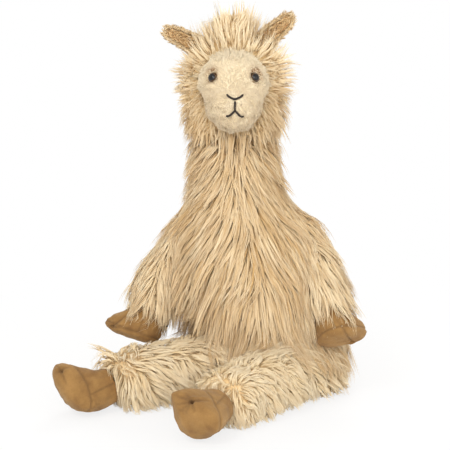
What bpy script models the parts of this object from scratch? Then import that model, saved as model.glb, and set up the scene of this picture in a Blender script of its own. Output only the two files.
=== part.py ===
"""Seated plush llama with a long shaggy coat, in metres with +Z up.

The origin is the middle of the seat, on the surface that the toy sits on. The toy looks along -Y.
Left and right are the animal's own, so its left side is at +X. Every fur piece is a bag whose
surface is laid with pointed locks like tiles, and the locks stand proud of the bag by a named lift.
"""

import math

import bmesh
import bpy
from mathutils import Matrix, Vector, noise
from mathutils.bvhtree import BVHTree

MM = 0.001

# Gap between neighbouring pieces
CLEARANCE = 0.3 * MM

# Torso and neck, one bag: steps in height, sideways lean, half width and half depth
SEAT_HALF_WIDTH = 78 * MM
SEAT_HALF_DEPTH = 66 * MM
SEAT_TO_BELLY = 60 * MM
BELLY_HALF_WIDTH = 72 * MM
BELLY_HALF_DEPTH = 65 * MM
BELLY_TO_CHEST = 70 * MM
CHEST_LEAN = -21 * MM
CHEST_HALF_WIDTH = 66 * MM
CHEST_HALF_DEPTH = 59 * MM
CHEST_TO_SHOULDER = 52 * MM
SHOULDER_LEAN = -29 * MM
SHOULDER_HALF_WIDTH = 58 * MM
SHOULDER_HALF_DEPTH = 51 * MM
SHOULDER_TO_NECK = 32 * MM
NECK_LEAN = -34 * MM
NECK_HALF_WIDTH = 42 * MM
NECK_HALF_DEPTH = 42 * MM
NECK_LENGTH = 48 * MM
HEAD_LEAN = -36.5 * MM

# Locks of the coat
TORSO_LOCK_LIFT = 8 * MM
TORSO_LOCK_REACH = 21 * MM
LIMB_LOCK_LIFT = 7 * MM
LIMB_LOCK_REACH = 15 * MM
HEAD_LOCK_LIFT = 18 * MM
CROWN_LOCK_LIFT = 24 * MM
LOCK_VARIATION = 0.35
TORSO_COLUMNS = 24
TORSO_ROWS = 14
HEAD_COLUMNS = 18
HEAD_ROWS = 7
LEG_COLUMNS = 11
LEG_ROWS = 11
ARM_COLUMNS = 9
ARM_ROWS = 8

# Head hood, measured up from the neck seam
HOOD_BASE_HALF_WIDTH = 43 * MM
HOOD_HALF_WIDTH = 47 * MM
HOOD_HALF_DEPTH = 43 * MM
HOOD_HEIGHT = 108 * MM
HOOD_WIDEST_HEIGHT = 56 * MM
HOOD_FORWARD = 6 * MM

# Face: a short-pile bag of a skull and a muzzle, set into the front of the hood
SKULL_HEIGHT = 56 * MM
SKULL_FORWARD = 42 * MM
SKULL_RADII = (34 * MM, 30 * MM, 31 * MM)
MUZZLE_HEIGHT = 32.5 * MM
MUZZLE_FORWARD = 60 * MM
MUZZLE_RADII = (27.5 * MM, 28 * MM, 24 * MM)
FACE_BLEND = 9
FACE_COLUMNS = 24
FACE_ROWS = 16

# Safety eyes: a domed head on a stem, held by a washer inside the face
EYE_DIAMETER = 10.4 * MM
EYE_DOME_HEIGHT = 4.2 * MM
EYE_SPACING = 41.6 * MM
EYE_ABOVE_SKULL = 9 * MM
EYE_SEAT_DEPTH = 0.8 * MM
STEM_DIAMETER = 3.2 * MM
STEM_LENGTH = 9 * MM
WASHER_DIAMETER = 12 * MM
WASHER_THICKNESS = 1.6 * MM
WASHER_DEPTH = 4.5 * MM
TURNED_STEPS = 16

# Nose and mouth, sewn in dark thread on the muzzle
THREAD_RADIUS = 0.9 * MM
NOSE_HALF_WIDTH = 7.8 * MM
NOSE_HEIGHT = 12.5 * MM
NOSE_DROP = 4.6 * MM
LIP_LENGTH = 10.5 * MM
MOUTH_HALF_WIDTH = 8.4 * MM
MOUTH_DROP = 5.4 * MM
THREAD_JOIN_GAP = 0.4 * MM

# Ears: a cupped leaf of long-pile cloth with a short-pile lining
EAR_LENGTH = 50 * MM
EAR_HALF_WIDTH = 10.5 * MM
EAR_TIP_HALF_WIDTH = 5.5 * MM
EAR_THICKNESS = 2.6 * MM
LINING_THICKNESS = 1.4 * MM
LINING_INSET = 2.4 * MM
EAR_CUP_ANGLE = math.radians(62)
EAR_ROOT_SINK = 9 * MM
EAR_FORWARD = 10 * MM
EAR_ROWS = 8
EAR_COLUMNS = 6
EAR_BARE_RADIUS = 20 * MM

# Arms: half widths of the bag, and how they hang from the flanks
ARM_SHOULDER_RADIUS = 25 * MM
ARM_WRIST_RADIUS = 25 * MM
ARM_ROOT_HEIGHT = 188 * MM
RIGHT_WRIST_HEIGHT = 84 * MM
RIGHT_WRIST_STANDOFF = 38 * MM
RIGHT_WRIST_FORWARD = 14 * MM
LEFT_WRIST_HEIGHT = 92 * MM
LEFT_WRIST_STANDOFF = -10 * MM
LEFT_WRIST_FORWARD = 55 * MM
ARM_ROOT_SINK = 18 * MM

# Legs: bags that lie on the ground
LEG_HIP_RADIUS = 34 * MM
LEG_ANKLE_RADIUS = 29 * MM
LEG_FLATTENING = 4 * MM
LEFT_HIP = (66 * MM, -6 * MM)
LEFT_LEG_LENGTH = 190 * MM
LEFT_LEG_HEADING = math.radians(38.5)
RIGHT_HIP = (-20 * MM, -23 * MM)
RIGHT_LEG_LENGTH = 153 * MM
RIGHT_LEG_HEADING = math.radians(64)

# Hooves: ankle, sole and puckered toe
ANKLE_RADIUS = 17.5 * MM
HIND_HOOF_DEPTH = 52 * MM
FRONT_HOOF_DEPTH = 37 * MM
SOLE_LENGTH = 55 * MM
SOLE_WIDTH = 43 * MM
TOE_SHIFT = 7 * MM
TOE_TAPER = 0.34
PUCKER_SHIFT = 9 * MM
PUCKER_DEPTH = 2.4 * MM
SEAM_DEPTH = 0.9 * MM
SOLE_EDGE = 0.72
HOOF_COLUMNS = 20
HOOF_WALL_ROWS = 4
HOOF_DOME_ROWS = 4

# Where each sole faces and where each toe points
LEFT_HIND_SOLE = (-0.42, -0.90, -0.10)
LEFT_HIND_TOE = (-0.58, 0.10, 0.80)
RIGHT_HIND_SOLE = (-0.84, -0.45, -0.28)
RIGHT_HIND_TOE = (-0.42, -0.05, 0.90)
LEFT_FRONT_SOLE = (0.25, -0.58, -0.78)
LEFT_FRONT_TOE = (0.90, -0.05, -0.40)
RIGHT_FRONT_SOLE = (-0.35, -0.22, -0.91)
RIGHT_FRONT_TOE = (-0.93, -0.05, 0.30)

# Colours, roughness values
CREAM_FUR = ((0.73, 0.58, 0.34), 0.95)
PALE_FUR = ((0.83, 0.70, 0.47), 0.95)
IVORY_PLUSH = ((0.85, 0.74, 0.55), 0.9)
TAN_PLUSH = ((0.52, 0.33, 0.16), 0.9)
TAN_SUEDE = ((0.43, 0.26, 0.10), 0.8)
AMBER_PLASTIC = ((0.05, 0.02, 0.006), 0.08)
NATURAL_PLASTIC = ((0.75, 0.74, 0.7), 0.5)
DARK_THREAD = ((0.012, 0.006, 0.004), 0.6)

NECK_SEAM_HEIGHT = SEAT_TO_BELLY + BELLY_TO_CHEST + CHEST_TO_SHOULDER + SHOULDER_TO_NECK + NECK_LENGTH
SKULL_CENTRE = Vector((HEAD_LEAN, -SKULL_FORWARD, NECK_SEAM_HEIGHT + SKULL_HEIGHT))
MUZZLE_CENTRE = Vector((HEAD_LEAN, -MUZZLE_FORWARD, NECK_SEAM_HEIGHT + MUZZLE_HEIGHT))
FACE_CENTRE = (SKULL_CENTRE + MUZZLE_CENTRE) / 2


def torso_stations():
    """Height, lean, half width and half depth of the torso from seat to neck."""
    belly = SEAT_TO_BELLY
    chest = belly + BELLY_TO_CHEST
    shoulder = chest + CHEST_TO_SHOULDER
    neck = shoulder + SHOULDER_TO_NECK
    return (
        (0.0, 0.0, SEAT_HALF_WIDTH, SEAT_HALF_DEPTH),
        (belly, 0.0, BELLY_HALF_WIDTH, BELLY_HALF_DEPTH),
        (chest, CHEST_LEAN, CHEST_HALF_WIDTH, CHEST_HALF_DEPTH),
        (shoulder, SHOULDER_LEAN, SHOULDER_HALF_WIDTH, SHOULDER_HALF_DEPTH),
        (neck, NECK_LEAN, NECK_HALF_WIDTH, NECK_HALF_DEPTH),
        (NECK_SEAM_HEIGHT, HEAD_LEAN, NECK_HALF_WIDTH, NECK_HALF_DEPTH),
    )


def slope(stations, index, column):
    """Slope of one column at a station, taken between its neighbours."""
    before = stations[max(index - 1, 0)]
    after = stations[min(index + 1, len(stations) - 1)]
    return (after[column] - before[column]) / (after[0] - before[0])


def profile_at(stations, place):
    """Smooth curve through the stations: the first number of each is its place."""
    upper = 1
    while upper < len(stations) - 1 and place > stations[upper][0]:
        upper += 1
    low, high = stations[upper - 1], stations[upper]
    span = high[0] - low[0]
    share = min(max((place - low[0]) / span, 0.0), 1.0)
    ease = share * share * (3 - 2 * share)
    leave = share * (1 - share) ** 2
    arrive = share * share * (share - 1)
    values = []
    for column in range(1, len(low)):
        turn = leave * slope(stations, upper - 1, column) + arrive * slope(stations, upper, column)
        values.append(low[column] + (high[column] - low[column]) * ease + turn * span)
    return values


def ellipse(centre, across, along, half_across, half_along, columns):
    """Points of one ring, evenly turned about its centre."""
    points = []
    for column in range(columns):
        angle = 2 * math.pi * column / columns
        points.append(centre + across * half_across * math.cos(angle) + along * half_along * math.sin(angle))
    return points


def lay_face(face, points):
    """Move a face's corners onto a ring's points."""
    for loop, point in zip(face.loops, points):
        loop.vert.co = point


def sweep(rings, pole=None):
    """Closed bag through rings: the end face is extruded from ring to ring.

    With a pole the last face is drawn together to that point. Returns the mesh builder and the
    faces of its wall.
    """
    bag = bmesh.new()
    bmesh.ops.create_circle(bag, cap_ends=True, segments=len(rings[0]), radius=1)
    end = next(iter(bag.faces))
    lay_face(end, rings[0])
    for points in rings[1:]:
        end = bmesh.ops.extrude_discrete_faces(bag, faces=[end])["faces"][0]
        lay_face(end, points)
    if pole is not None:
        tip = bmesh.ops.poke(bag, faces=[end])["verts"][0]
        tip.co = pole
    rim = [edge for edge in bag.edges if edge.is_boundary]
    bmesh.ops.holes_fill(bag, edges=rim, sides=0)
    bmesh.ops.recalc_face_normals(bag, faces=bag.faces)
    wall = [face for face in bag.faces if len(face.verts) == 4]
    return bag, wall


def lock_tiles(bag, wall):
    """Redraw a net of quads as diamonds, which lie staggered like tiles."""
    quads = set(wall)
    seams = [edge for edge in bag.edges if all(face in quads for face in edge.link_faces)]
    kept = [face for face in bag.faces if face not in quads]
    bmesh.ops.poke(bag, faces=wall)
    bmesh.ops.dissolve_edges(bag, edges=seams, use_verts=False)
    bmesh.ops.recalc_face_normals(bag, faces=bag.faces)
    caps = set(kept)
    return [face for face in bag.faces if face not in caps]


def raise_locks(bag, tiles, comb):
    """Draw the middle of each tile out to a lock's tip, as comb gives it from place and normal."""
    for tile in tiles:
        place = tile.calc_center_median()
        normal = tile.normal.copy()
        tip = bmesh.ops.poke(bag, faces=[tile])["verts"][0]
        tip.co = comb(place, normal)


def scatter(place, scale=6 * MM):
    """Repeatable variation for a place, each component between -1 and 1."""
    cell = noise.cell_vector(place / scale)
    return Vector((2 * cell.x - 1, 2 * cell.y - 1, 2 * cell.z - 1))


def lock_tip(place, normal, flow, lift, reach):
    """Tip of one lock: lifted off the bag and carried along the flow of the coat."""
    change = scatter(place)
    along = flow - normal * flow.dot(normal)
    across = normal.cross(along)
    reach_here = reach * (1 + LOCK_VARIATION * change.x)
    lift_here = lift * (1 - LOCK_VARIATION * (change.y + 1) / 2)
    sway = across * reach * LOCK_VARIATION * change.z / 2
    return place + normal * lift_here + along * reach_here + sway


def above_ground(point, height=0.5 * MM):
    """The same point, kept from going under the surface that the toy sits on."""
    return Vector((point.x, point.y, max(point.z, height)))


def material(name, finish):
    """Principled material of one colour and roughness."""
    colour, roughness = finish
    made = bpy.data.materials.new(name)
    made.use_nodes = True
    shader = made.node_tree.nodes["Principled BSDF"]
    shader.inputs["Base Color"].default_value = (*colour, 1.0)
    shader.inputs["Roughness"].default_value = roughness
    shader.inputs["Metallic"].default_value = 0.0
    return made


def add_object(name, bag, finish, sharp_angle=math.radians(50)):
    """Object of one piece, with its own material."""
    mesh = bpy.data.meshes.new(name)
    bag.to_mesh(mesh)
    bag.free()
    mesh.shade_smooth()
    mesh.set_sharp_from_angle(angle=sharp_angle)
    mesh.materials.append(material(name, finish))
    made = bpy.data.objects.new(name, mesh)
    bpy.context.scene.collection.objects.link(made)
    return made


def add_cutter(name, bag):
    """Wire-drawn guide that only cuts other pieces."""
    mesh = bpy.data.meshes.new(name)
    bag.to_mesh(mesh)
    bag.free()
    made = bpy.data.objects.new(name, mesh)
    made.hide_render = True
    made.display_type = "WIRE"
    bpy.context.scene.collection.objects.link(made)
    return made


def cut(piece, cutter):
    """Take a cutter's room out of a piece."""
    difference = piece.modifiers.new(cutter.name, "BOOLEAN")
    difference.operation = "DIFFERENCE"
    difference.solver = "EXACT"
    difference.object = cutter


def frame_of(down, toward):
    """Rotation whose -Z is down and whose +X is as near toward as it can be."""
    z_axis = -Vector(down).normalized()
    x_axis = Vector(toward)
    x_axis = (x_axis - z_axis * x_axis.dot(z_axis)).normalized()
    y_axis = z_axis.cross(x_axis)
    return Matrix((x_axis, y_axis, z_axis)).transposed()


def torso_rings(growth, bottom, top, rows, columns=TORSO_COLUMNS):
    """Rings of the torso, grown outward by a distance."""
    stations = torso_stations()
    rings = []
    for row in range(rows + 1):
        height = bottom + (top - bottom) * row / rows
        lean, half_width, half_depth = profile_at(stations, height)
        centre = Vector((lean, 0.0, height))
        rings.append(ellipse(centre, Vector((1, 0, 0)), Vector((0, 1, 0)),
                             half_width + growth, half_depth + growth, columns))
    return rings


def comb_torso(place, normal):
    """Locks hang down and part to both sides of the chest's middle."""
    lean = profile_at(torso_stations(), place.z)[0]
    side = max(-1.0, min(1.0, (place.x - lean) / CHEST_HALF_WIDTH))
    flow = Vector((0.45 * side, 0.0, -1.0)).normalized()
    tip = above_ground(lock_tip(place, normal, flow, TORSO_LOCK_LIFT, TORSO_LOCK_REACH))
    lean, half_width, half_depth = profile_at(torso_stations(), tip.z)
    across = (tip.x - lean) / (half_width + TORSO_LOCK_LIFT)
    along = tip.y / (half_depth + TORSO_LOCK_LIFT)
    excess = max(1.0, math.hypot(across, along))
    return Vector((lean + (tip.x - lean) / excess, tip.y / excess, tip.z))


def in_torso(point, margin):
    """Whether a point lies in the torso, or within a margin of it."""
    lean, half_width, half_depth = profile_at(torso_stations(), point.z)
    across = (point.x - lean) / (half_width + margin)
    along = point.y / (half_depth + margin)
    return point.z < NECK_SEAM_HEIGHT and across * across + along * along < 1


def torso_envelope():
    """Room that the torso and its locks take up, with the clearance."""
    columns = 2 * TORSO_COLUMNS
    widest = max(SEAT_HALF_WIDTH, BELLY_HALF_WIDTH) + TORSO_LOCK_LIFT
    flats = widest * (1 / math.cos(math.pi / columns) - 1)
    growth = TORSO_LOCK_LIFT + CLEARANCE + flats
    bag, _ = sweep(torso_rings(growth, -LEG_HIP_RADIUS, NECK_SEAM_HEIGHT, 2 * TORSO_ROWS, columns))
    return add_cutter("torso_room", bag)


def make_body():
    """Torso and neck, one bag with a flat seat."""
    bag, wall = sweep(torso_rings(0.0, 0.0, NECK_SEAM_HEIGHT, TORSO_ROWS))
    raise_locks(bag, lock_tiles(bag, wall), comb_torso)
    return add_object("body", bag, CREAM_FUR)


def hood_stations():
    """Height above the neck seam and half width of the hood, as shares of its widest."""
    crown = HOOD_HEIGHT - HOOD_WIDEST_HEIGHT
    return (
        (0.0, HOOD_BASE_HALF_WIDTH),
        (HOOD_WIDEST_HEIGHT, HOOD_HALF_WIDTH),
        (HOOD_WIDEST_HEIGHT + crown * 0.5, HOOD_HALF_WIDTH * 0.87),
        (HOOD_WIDEST_HEIGHT + crown * 0.8, HOOD_HALF_WIDTH * 0.6),
        (HOOD_HEIGHT, HOOD_HALF_WIDTH * 0.15),
    )


def hood_rings(growth):
    """Rings of the hood from the neck seam to the crown, grown outward by a distance."""
    rings = []
    for row in range(HEAD_ROWS + 1):
        share = math.sin(math.pi / 2 * row / HEAD_ROWS)
        height = HOOD_HEIGHT * share
        half_width = profile_at(hood_stations(), height)[0]
        centre = Vector((HEAD_LEAN, -HOOD_FORWARD, NECK_SEAM_HEIGHT + CLEARANCE + height))
        half_depth = half_width * HOOD_HALF_DEPTH / HOOD_HALF_WIDTH
        rings.append(ellipse(centre, Vector((1, 0, 0)), Vector((0, 1, 0)),
                             half_width + growth, half_depth + growth, HEAD_COLUMNS))
    return rings


def in_face(point, margin):
    """Whether a point lies in the face, or within a margin of it."""
    arm = point - FACE_CENTRE
    return arm.length < face_radius(arm.normalized()) + margin


def comb_head(place, normal):
    """Locks radiate sideways from the face, hang a little, and stand up on the crown."""
    if in_face(place, HEAD_LOCK_LIFT / 2) or near_ear(place):
        return place
    height = (place.z - NECK_SEAM_HEIGHT) / HOOD_HEIGHT
    crown = max(0.0, min(1.0, (height - 0.6) / 0.3))
    nape = max(0.0, 1 - height / 0.45)
    lift = HEAD_LOCK_LIFT * (1 - crown - nape) + CROWN_LOCK_LIFT * crown + TORSO_LOCK_LIFT * nape
    flow = Vector((0.0, 0.1, -0.5 + crown - nape / 2))
    tip = lock_tip(place, normal, flow, lift, HEAD_LOCK_LIFT)
    return above_ground(tip, NECK_SEAM_HEIGHT + CLEARANCE)


def make_head():
    """Furred hood of the head, which holds the face and the ears."""
    rings = hood_rings(0.0)
    crown = Vector((HEAD_LEAN, -HOOD_FORWARD, NECK_SEAM_HEIGHT + CLEARANCE + HOOD_HEIGHT))
    bag, wall = sweep(rings, crown)
    raise_locks(bag, lock_tiles(bag, wall), comb_head)
    head = add_object("head", bag, CREAM_FUR)
    room = add_cutter("face_room", face_mesh(CLEARANCE * 1.5))
    cut(head, room)
    return head


def ellipsoid_exit(start, direction, centre, radii):
    """How far a ray from inside an ellipsoid runs to its surface."""
    offset = Vector([(s - c) / r for s, c, r in zip(start, centre, radii)])
    step = Vector([d / r for d, r in zip(direction, radii)])
    a = step.dot(step)
    b = offset.dot(step)
    c = offset.dot(offset) - 1
    inside = b * b - a * c
    if inside <= 0:
        return 0.0
    return (-b + math.sqrt(inside)) / a


def face_radius(direction):
    """Distance from the face's centre to its surface, skull and muzzle blended."""
    skull = ellipsoid_exit(FACE_CENTRE, direction, SKULL_CENTRE, SKULL_RADII)
    muzzle = ellipsoid_exit(FACE_CENTRE, direction, MUZZLE_CENTRE, MUZZLE_RADII)
    return (max(skull, 0.0) ** FACE_BLEND + max(muzzle, 0.0) ** FACE_BLEND) ** (1 / FACE_BLEND)


def face_mesh(growth):
    """Ball drawn to the face's surface, its poles at the nose and behind."""
    ball = bmesh.new()
    bmesh.ops.create_uvsphere(ball, u_segments=FACE_COLUMNS, v_segments=FACE_ROWS, radius=1,
                              matrix=Matrix.Rotation(math.radians(90), 4, "X"))
    bmesh.ops.triangulate(ball, faces=ball.faces, quad_method="FIXED")
    for vertex in ball.verts:
        direction = vertex.co.normalized()
        vertex.co = FACE_CENTRE + direction * (face_radius(direction) + growth)
    return ball


def on_face(across, height):
    """Point of the face's surface straight in front of a place across and above the muzzle."""
    start = Vector((HEAD_LEAN + across, -1.0, NECK_SEAM_HEIGHT + height))
    ball = face_mesh(0.0)
    tree = BVHTree.FromBMesh(ball)
    place, normal, _, _ = tree.ray_cast(start, Vector((0, 1, 0)))
    ball.free()
    return place, normal


def turned(profile):
    """Turned solid from a profile of radius and height, from its top to its bottom."""
    bag = bmesh.new()
    corners = [bag.verts.new((radius, 0.0, height)) for radius, height in profile]
    edges = [bag.edges.new(pair) for pair in zip(corners, corners[1:])]
    bmesh.ops.spin(bag, geom=corners + edges, cent=(0, 0, 0), axis=(0, 0, 1), angle=2 * math.pi,
                   steps=TURNED_STEPS, use_merge=True)
    bmesh.ops.remove_doubles(bag, verts=bag.verts, dist=MM / 1000)
    bmesh.ops.recalc_face_normals(bag, faces=bag.faces)
    return bag


def dome(radius, height, steps=4):
    """Quarter arc from the axis out to the radius, its foot at zero."""
    return [(radius * math.sin(math.pi / 2 * step / steps), height * math.cos(math.pi / 2 * step / steps))
            for step in range(steps + 1)]


def make_eyes():
    """Two safety eyes, their washers, and the room for them in the face."""
    cutters = []
    for side, sign in (("left", 1), ("right", -1)):
        place, normal = on_face(sign * EYE_SPACING / 2, SKULL_HEIGHT + EYE_ABOVE_SKULL)
        turn = frame_of(-normal, (1, 0, 0)).to_4x4()
        stand = Matrix.Translation(place - normal * EYE_SEAT_DEPTH) @ turn
        radius = EYE_DIAMETER / 2
        stem = STEM_DIAMETER / 2
        eye_profile = dome(radius, EYE_DOME_HEIGHT) + [(stem, 0.0), (stem, -STEM_LENGTH), (0.0, -STEM_LENGTH)]
        eye = add_object("eye_" + side, turned(eye_profile), AMBER_PLASTIC)
        eye.matrix_world = stand
        bore = stem + CLEARANCE
        rim = WASHER_DIAMETER / 2
        washer_top = -WASHER_DEPTH
        washer_foot = washer_top - WASHER_THICKNESS
        washer_profile = [(bore, washer_top), (rim, washer_top), (rim, washer_foot), (bore, washer_foot),
                          (bore, washer_top)]
        washer = add_object("eye_washer_" + side, turned(washer_profile), NATURAL_PLASTIC)
        washer.matrix_world = stand
        seat = radius + CLEARANCE
        foot = -STEM_LENGTH - CLEARANCE
        room_profile = [(0.0, EYE_DOME_HEIGHT), (seat, EYE_DOME_HEIGHT), (seat, -CLEARANCE),
                        (bore, -CLEARANCE), (bore, washer_top + CLEARANCE),
                        (rim + CLEARANCE, washer_top + CLEARANCE), (rim + CLEARANCE, washer_foot - CLEARANCE),
                        (bore, washer_foot - CLEARANCE), (bore, foot), (0.0, foot)]
        room = add_cutter("eye_room_" + side, turned(room_profile))
        room.matrix_world = stand
        cutters.append(room)
    return cutters


def thread_tube(points, radius, sides=8):
    """Round thread through points of the face's surface, with flat ends."""
    rings = []
    for index, point in enumerate(points):
        before = points[max(index - 1, 0)]
        after = points[min(index + 1, len(points) - 1)]
        run = (after - before).normalized()
        across = run.cross(Vector((0, 1, 0))).normalized()
        rings.append(ellipse(point, across, run.cross(across), radius, radius, sides))
    return sweep(rings)[0]


def stitch(name, outline):
    """One stitch along places on the face, and its groove."""
    points = [on_face(across, height)[0] for across, height in outline]
    thread = add_object(name, thread_tube(points, THREAD_RADIUS), DARK_THREAD)
    run_in = (points[0] - points[1]).normalized() * CLEARANCE
    run_out = (points[-1] - points[-2]).normalized() * CLEARANCE
    longer = [points[0] + run_in] + points[1:-1] + [points[-1] + run_out]
    groove = add_cutter(name + "_groove", thread_tube(longer, THREAD_RADIUS + CLEARANCE))
    return thread, groove


def make_stitches():
    """Nose, upper lip and mouth."""
    nose_bottom = MUZZLE_HEIGHT + NOSE_HEIGHT - NOSE_DROP
    nose_top = MUZZLE_HEIGHT + NOSE_HEIGHT
    lip_top = nose_bottom - 2 * THREAD_RADIUS - THREAD_JOIN_GAP
    mouth_top = nose_bottom - LIP_LENGTH
    lip_bottom = mouth_top + 2 * THREAD_RADIUS + THREAD_JOIN_GAP
    corner = mouth_top - MOUTH_DROP
    outlines = (
        ("nose_stitch", ((-NOSE_HALF_WIDTH, nose_top), (-NOSE_HALF_WIDTH / 2, nose_top - NOSE_DROP * 0.6),
                         (0.0, nose_bottom), (NOSE_HALF_WIDTH / 2, nose_top - NOSE_DROP * 0.6),
                         (NOSE_HALF_WIDTH, nose_top))),
        ("lip_stitch", ((0.0, lip_top), (0.0, (lip_top + lip_bottom) / 2), (0.0, lip_bottom))),
        ("mouth_stitch", ((-MOUTH_HALF_WIDTH, corner), (-MOUTH_HALF_WIDTH / 2, mouth_top - MOUTH_DROP * 0.6),
                          (0.0, mouth_top), (MOUTH_HALF_WIDTH / 2, mouth_top - MOUTH_DROP * 0.6),
                          (MOUTH_HALF_WIDTH, corner))),
    )
    return [stitch(name, outline)[1] for name, outline in outlines]


def make_face():
    """Face with its eyes, washers and stitches."""
    face = add_object("face", face_mesh(0.0), IVORY_PLUSH)
    for cutter in make_eyes() + make_stitches():
        cut(face, cutter)
    return face


def ear_places():
    """Where each ear leaves the hood and where its tip points, from the hood's own ring."""
    height = HOOD_HEIGHT * 0.87
    half_width = profile_at(hood_stations(), height)[0]
    base = Vector((HEAD_LEAN, -EAR_FORWARD, NECK_SEAM_HEIGHT + height))
    right = base + Vector((-half_width, 0.0, -3 * MM))
    left = base + Vector((half_width, 0.0, 2 * MM))
    return (("right", right, Vector((-0.90, -0.05, 0.42))), ("left", left, Vector((0.76, -0.05, 0.65))))


def near_ear(place):
    """Whether a place on the hood is where an ear comes out."""
    return any((place - root).length < EAR_BARE_RADIUS for _, root, _ in ear_places())


def leaf_half_width(share):
    """Half width of the ear along its length, widest below the middle, round at the tip."""
    body = math.sin(math.pi * (0.28 + 0.5 * share))
    full = EAR_TIP_HALF_WIDTH + (EAR_HALF_WIDTH - EAR_TIP_HALF_WIDTH) * body * (1 - 0.5 * share)
    round_off = math.sqrt(max(0.0, 1 - max(0.0, (share - 0.8) / 0.2) ** 2))
    return full * max(round_off, 0.12)


def leaf(inner, outer, inset, start, stop):
    """Cupped leaf between two offsets of its middle surface, along +Z and open toward -Y."""
    turns = [EAR_CUP_ANGLE * (2 * column / EAR_COLUMNS - 1) for column in range(EAR_COLUMNS + 1)]
    rings = []
    for row in range(EAR_ROWS + 1):
        share = start + (stop - start) * math.sin(math.pi / 2 * row / EAR_ROWS)
        radius = max(leaf_half_width(share) - inset, MM) / math.sin(EAR_CUP_ANGLE)
        middle = Vector((0, -radius * math.cos(EAR_CUP_ANGLE), share * EAR_LENGTH))
        front = [middle + Vector((-math.sin(turn), math.cos(turn), 0)) * (radius + inner) for turn in turns]
        back = [middle + Vector((-math.sin(turn), math.cos(turn), 0)) * (radius + outer) for turn in turns]
        rings.append(front + back[::-1])
    return sweep(rings)[0]


def make_ears():
    """Two ears, each a back and a lining, their roots cut to the hood."""
    room = add_cutter("hood_room", sweep(hood_rings(CLEARANCE), Vector(
        (HEAD_LEAN, -HOOD_FORWARD, NECK_SEAM_HEIGHT + 2 * CLEARANCE + HOOD_HEIGHT)))[0])
    for side, root, tip_direction in ear_places():
        direction = tip_direction.normalized()
        turn = frame_of(-direction, Vector((0, 1, 0)).cross(direction)).to_4x4()
        stand = Matrix.Translation(root - direction * EAR_ROOT_SINK) @ turn
        back = leaf(0.0, EAR_THICKNESS, 0.0, 0.0, 1.0)
        back_piece = add_object("ear_back_" + side, back, CREAM_FUR)
        lining = leaf(-CLEARANCE - LINING_THICKNESS, -CLEARANCE, LINING_INSET, 0.06, 0.9)
        lining_piece = add_object("ear_lining_" + side, lining, TAN_PLUSH)
        for piece in (back_piece, lining_piece):
            piece.matrix_world = stand
            cut(piece, room)


def curve_between(start, leave, stop, arrive, share):
    """Point of a smooth curve between two places with the given directions there."""
    rest = 1 - share
    return (start * (1 + 2 * share) * rest ** 2 + leave * share * rest ** 2
            + stop * share ** 2 * (3 - 2 * share) - arrive * share ** 2 * rest)


def limb_rings(path, radii, rows, columns):
    """Rings along a limb's path, square to it, from its rounded root to its end."""
    start, leave, stop, arrive = path
    round_share = radii[0] / (stop - start).length
    rings = []
    for row in range(rows + 1):
        share = row / rows
        centre = curve_between(start, leave, stop, arrive, share)
        step = 0.01
        ahead = curve_between(start, leave, stop, arrive, min(share + step, 1.0))
        behind = curve_between(start, leave, stop, arrive, max(share - step, 0.0))
        run = (ahead - behind).normalized()
        if row == rows:
            run = arrive.normalized()
        across = run.cross(Vector((0, 0, 1))).normalized()
        rounding = math.sqrt(1 - max(0.0, 0.94 - share / round_share) ** 2)
        radius = (radii[0] + (radii[1] - radii[0]) * share) * rounding
        rings.append(ellipse(centre, across, run.cross(across), radius, radius, columns))
    return rings


def limb_comb(path):
    """Locks of a limb lie along it, hang a little and stop short of the hoof."""
    start, leave, stop, arrive = path
    end = arrive.normalized()
    straight = (stop - start).normalized()

    def comb(place, normal):
        flow = (straight + end + Vector((0, 0, -0.5))).normalized()
        tip = lock_tip(place, normal, flow, LIMB_LOCK_LIFT, LIMB_LOCK_REACH)
        past = (tip - stop).dot(end)
        if past > 0:
            tip -= end * past
        return above_ground(tip)

    return comb


def in_limb(point, path, radii, margin):
    """Whether a point lies in a limb, or within a margin of it."""
    steps = 24
    for step in range(steps + 1):
        share = step / steps
        radius = radii[0] + (radii[1] - radii[0]) * share
        if (point - curve_between(*path, share)).length < radius + margin:
            return True
    return False


def make_limb(name, path, radii, rows, columns, finish, covered=None):
    """Furred limb; its locks stand only where neither the torso nor another piece covers it."""
    bag, wall = sweep(limb_rings(path, radii, rows, columns))
    for vertex in bag.verts:
        vertex.co = above_ground(vertex.co, 0.0)
    standing = []
    for tile in lock_tiles(bag, wall):
        place = tile.calc_center_median()
        on_ground = place.z < LIMB_LOCK_LIFT / 2
        hidden = in_torso(place, TORSO_LOCK_LIFT + LIMB_LOCK_LIFT) or (covered is not None and covered(place))
        if not on_ground and not hidden:
            standing.append(tile)
    raise_locks(bag, standing, limb_comb(path))
    return add_object(name, bag, finish)


def flank(height, sign):
    """Outer edge of the torso's coat at a height, on one side."""
    lean, half_width, _ = profile_at(torso_stations(), height)
    return lean + sign * (half_width + TORSO_LOCK_LIFT)


def arm_path(sign, wrist_height, standoff, forward, sole):
    """An arm hangs from the flank at shoulder height to its wrist."""
    root = Vector((flank(ARM_ROOT_HEIGHT, sign) - sign * ARM_ROOT_SINK, 0.0, ARM_ROOT_HEIGHT))
    wrist = Vector((flank(wrist_height, sign) + sign * standoff, -forward, wrist_height))
    reach = (wrist - root).length
    leave = Vector((sign * 0.55, -0.05, -0.85)) * reach
    return root, leave, wrist, Vector(sole).normalized() * reach * 0.8


def leg_path(hip, heading, length, sole):
    """A leg lies on the ground from the hip to the ankle."""
    height = LEG_HIP_RADIUS - LEG_FLATTENING
    start = Vector((hip[0], hip[1], height))
    run = Vector((-math.sin(heading), -math.cos(heading), 0.0))
    stop = start + run * length
    stop.z = LEG_ANKLE_RADIUS - LEG_FLATTENING
    return start, run * length, stop, Vector(sole).normalized() * length * 0.5


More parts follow.
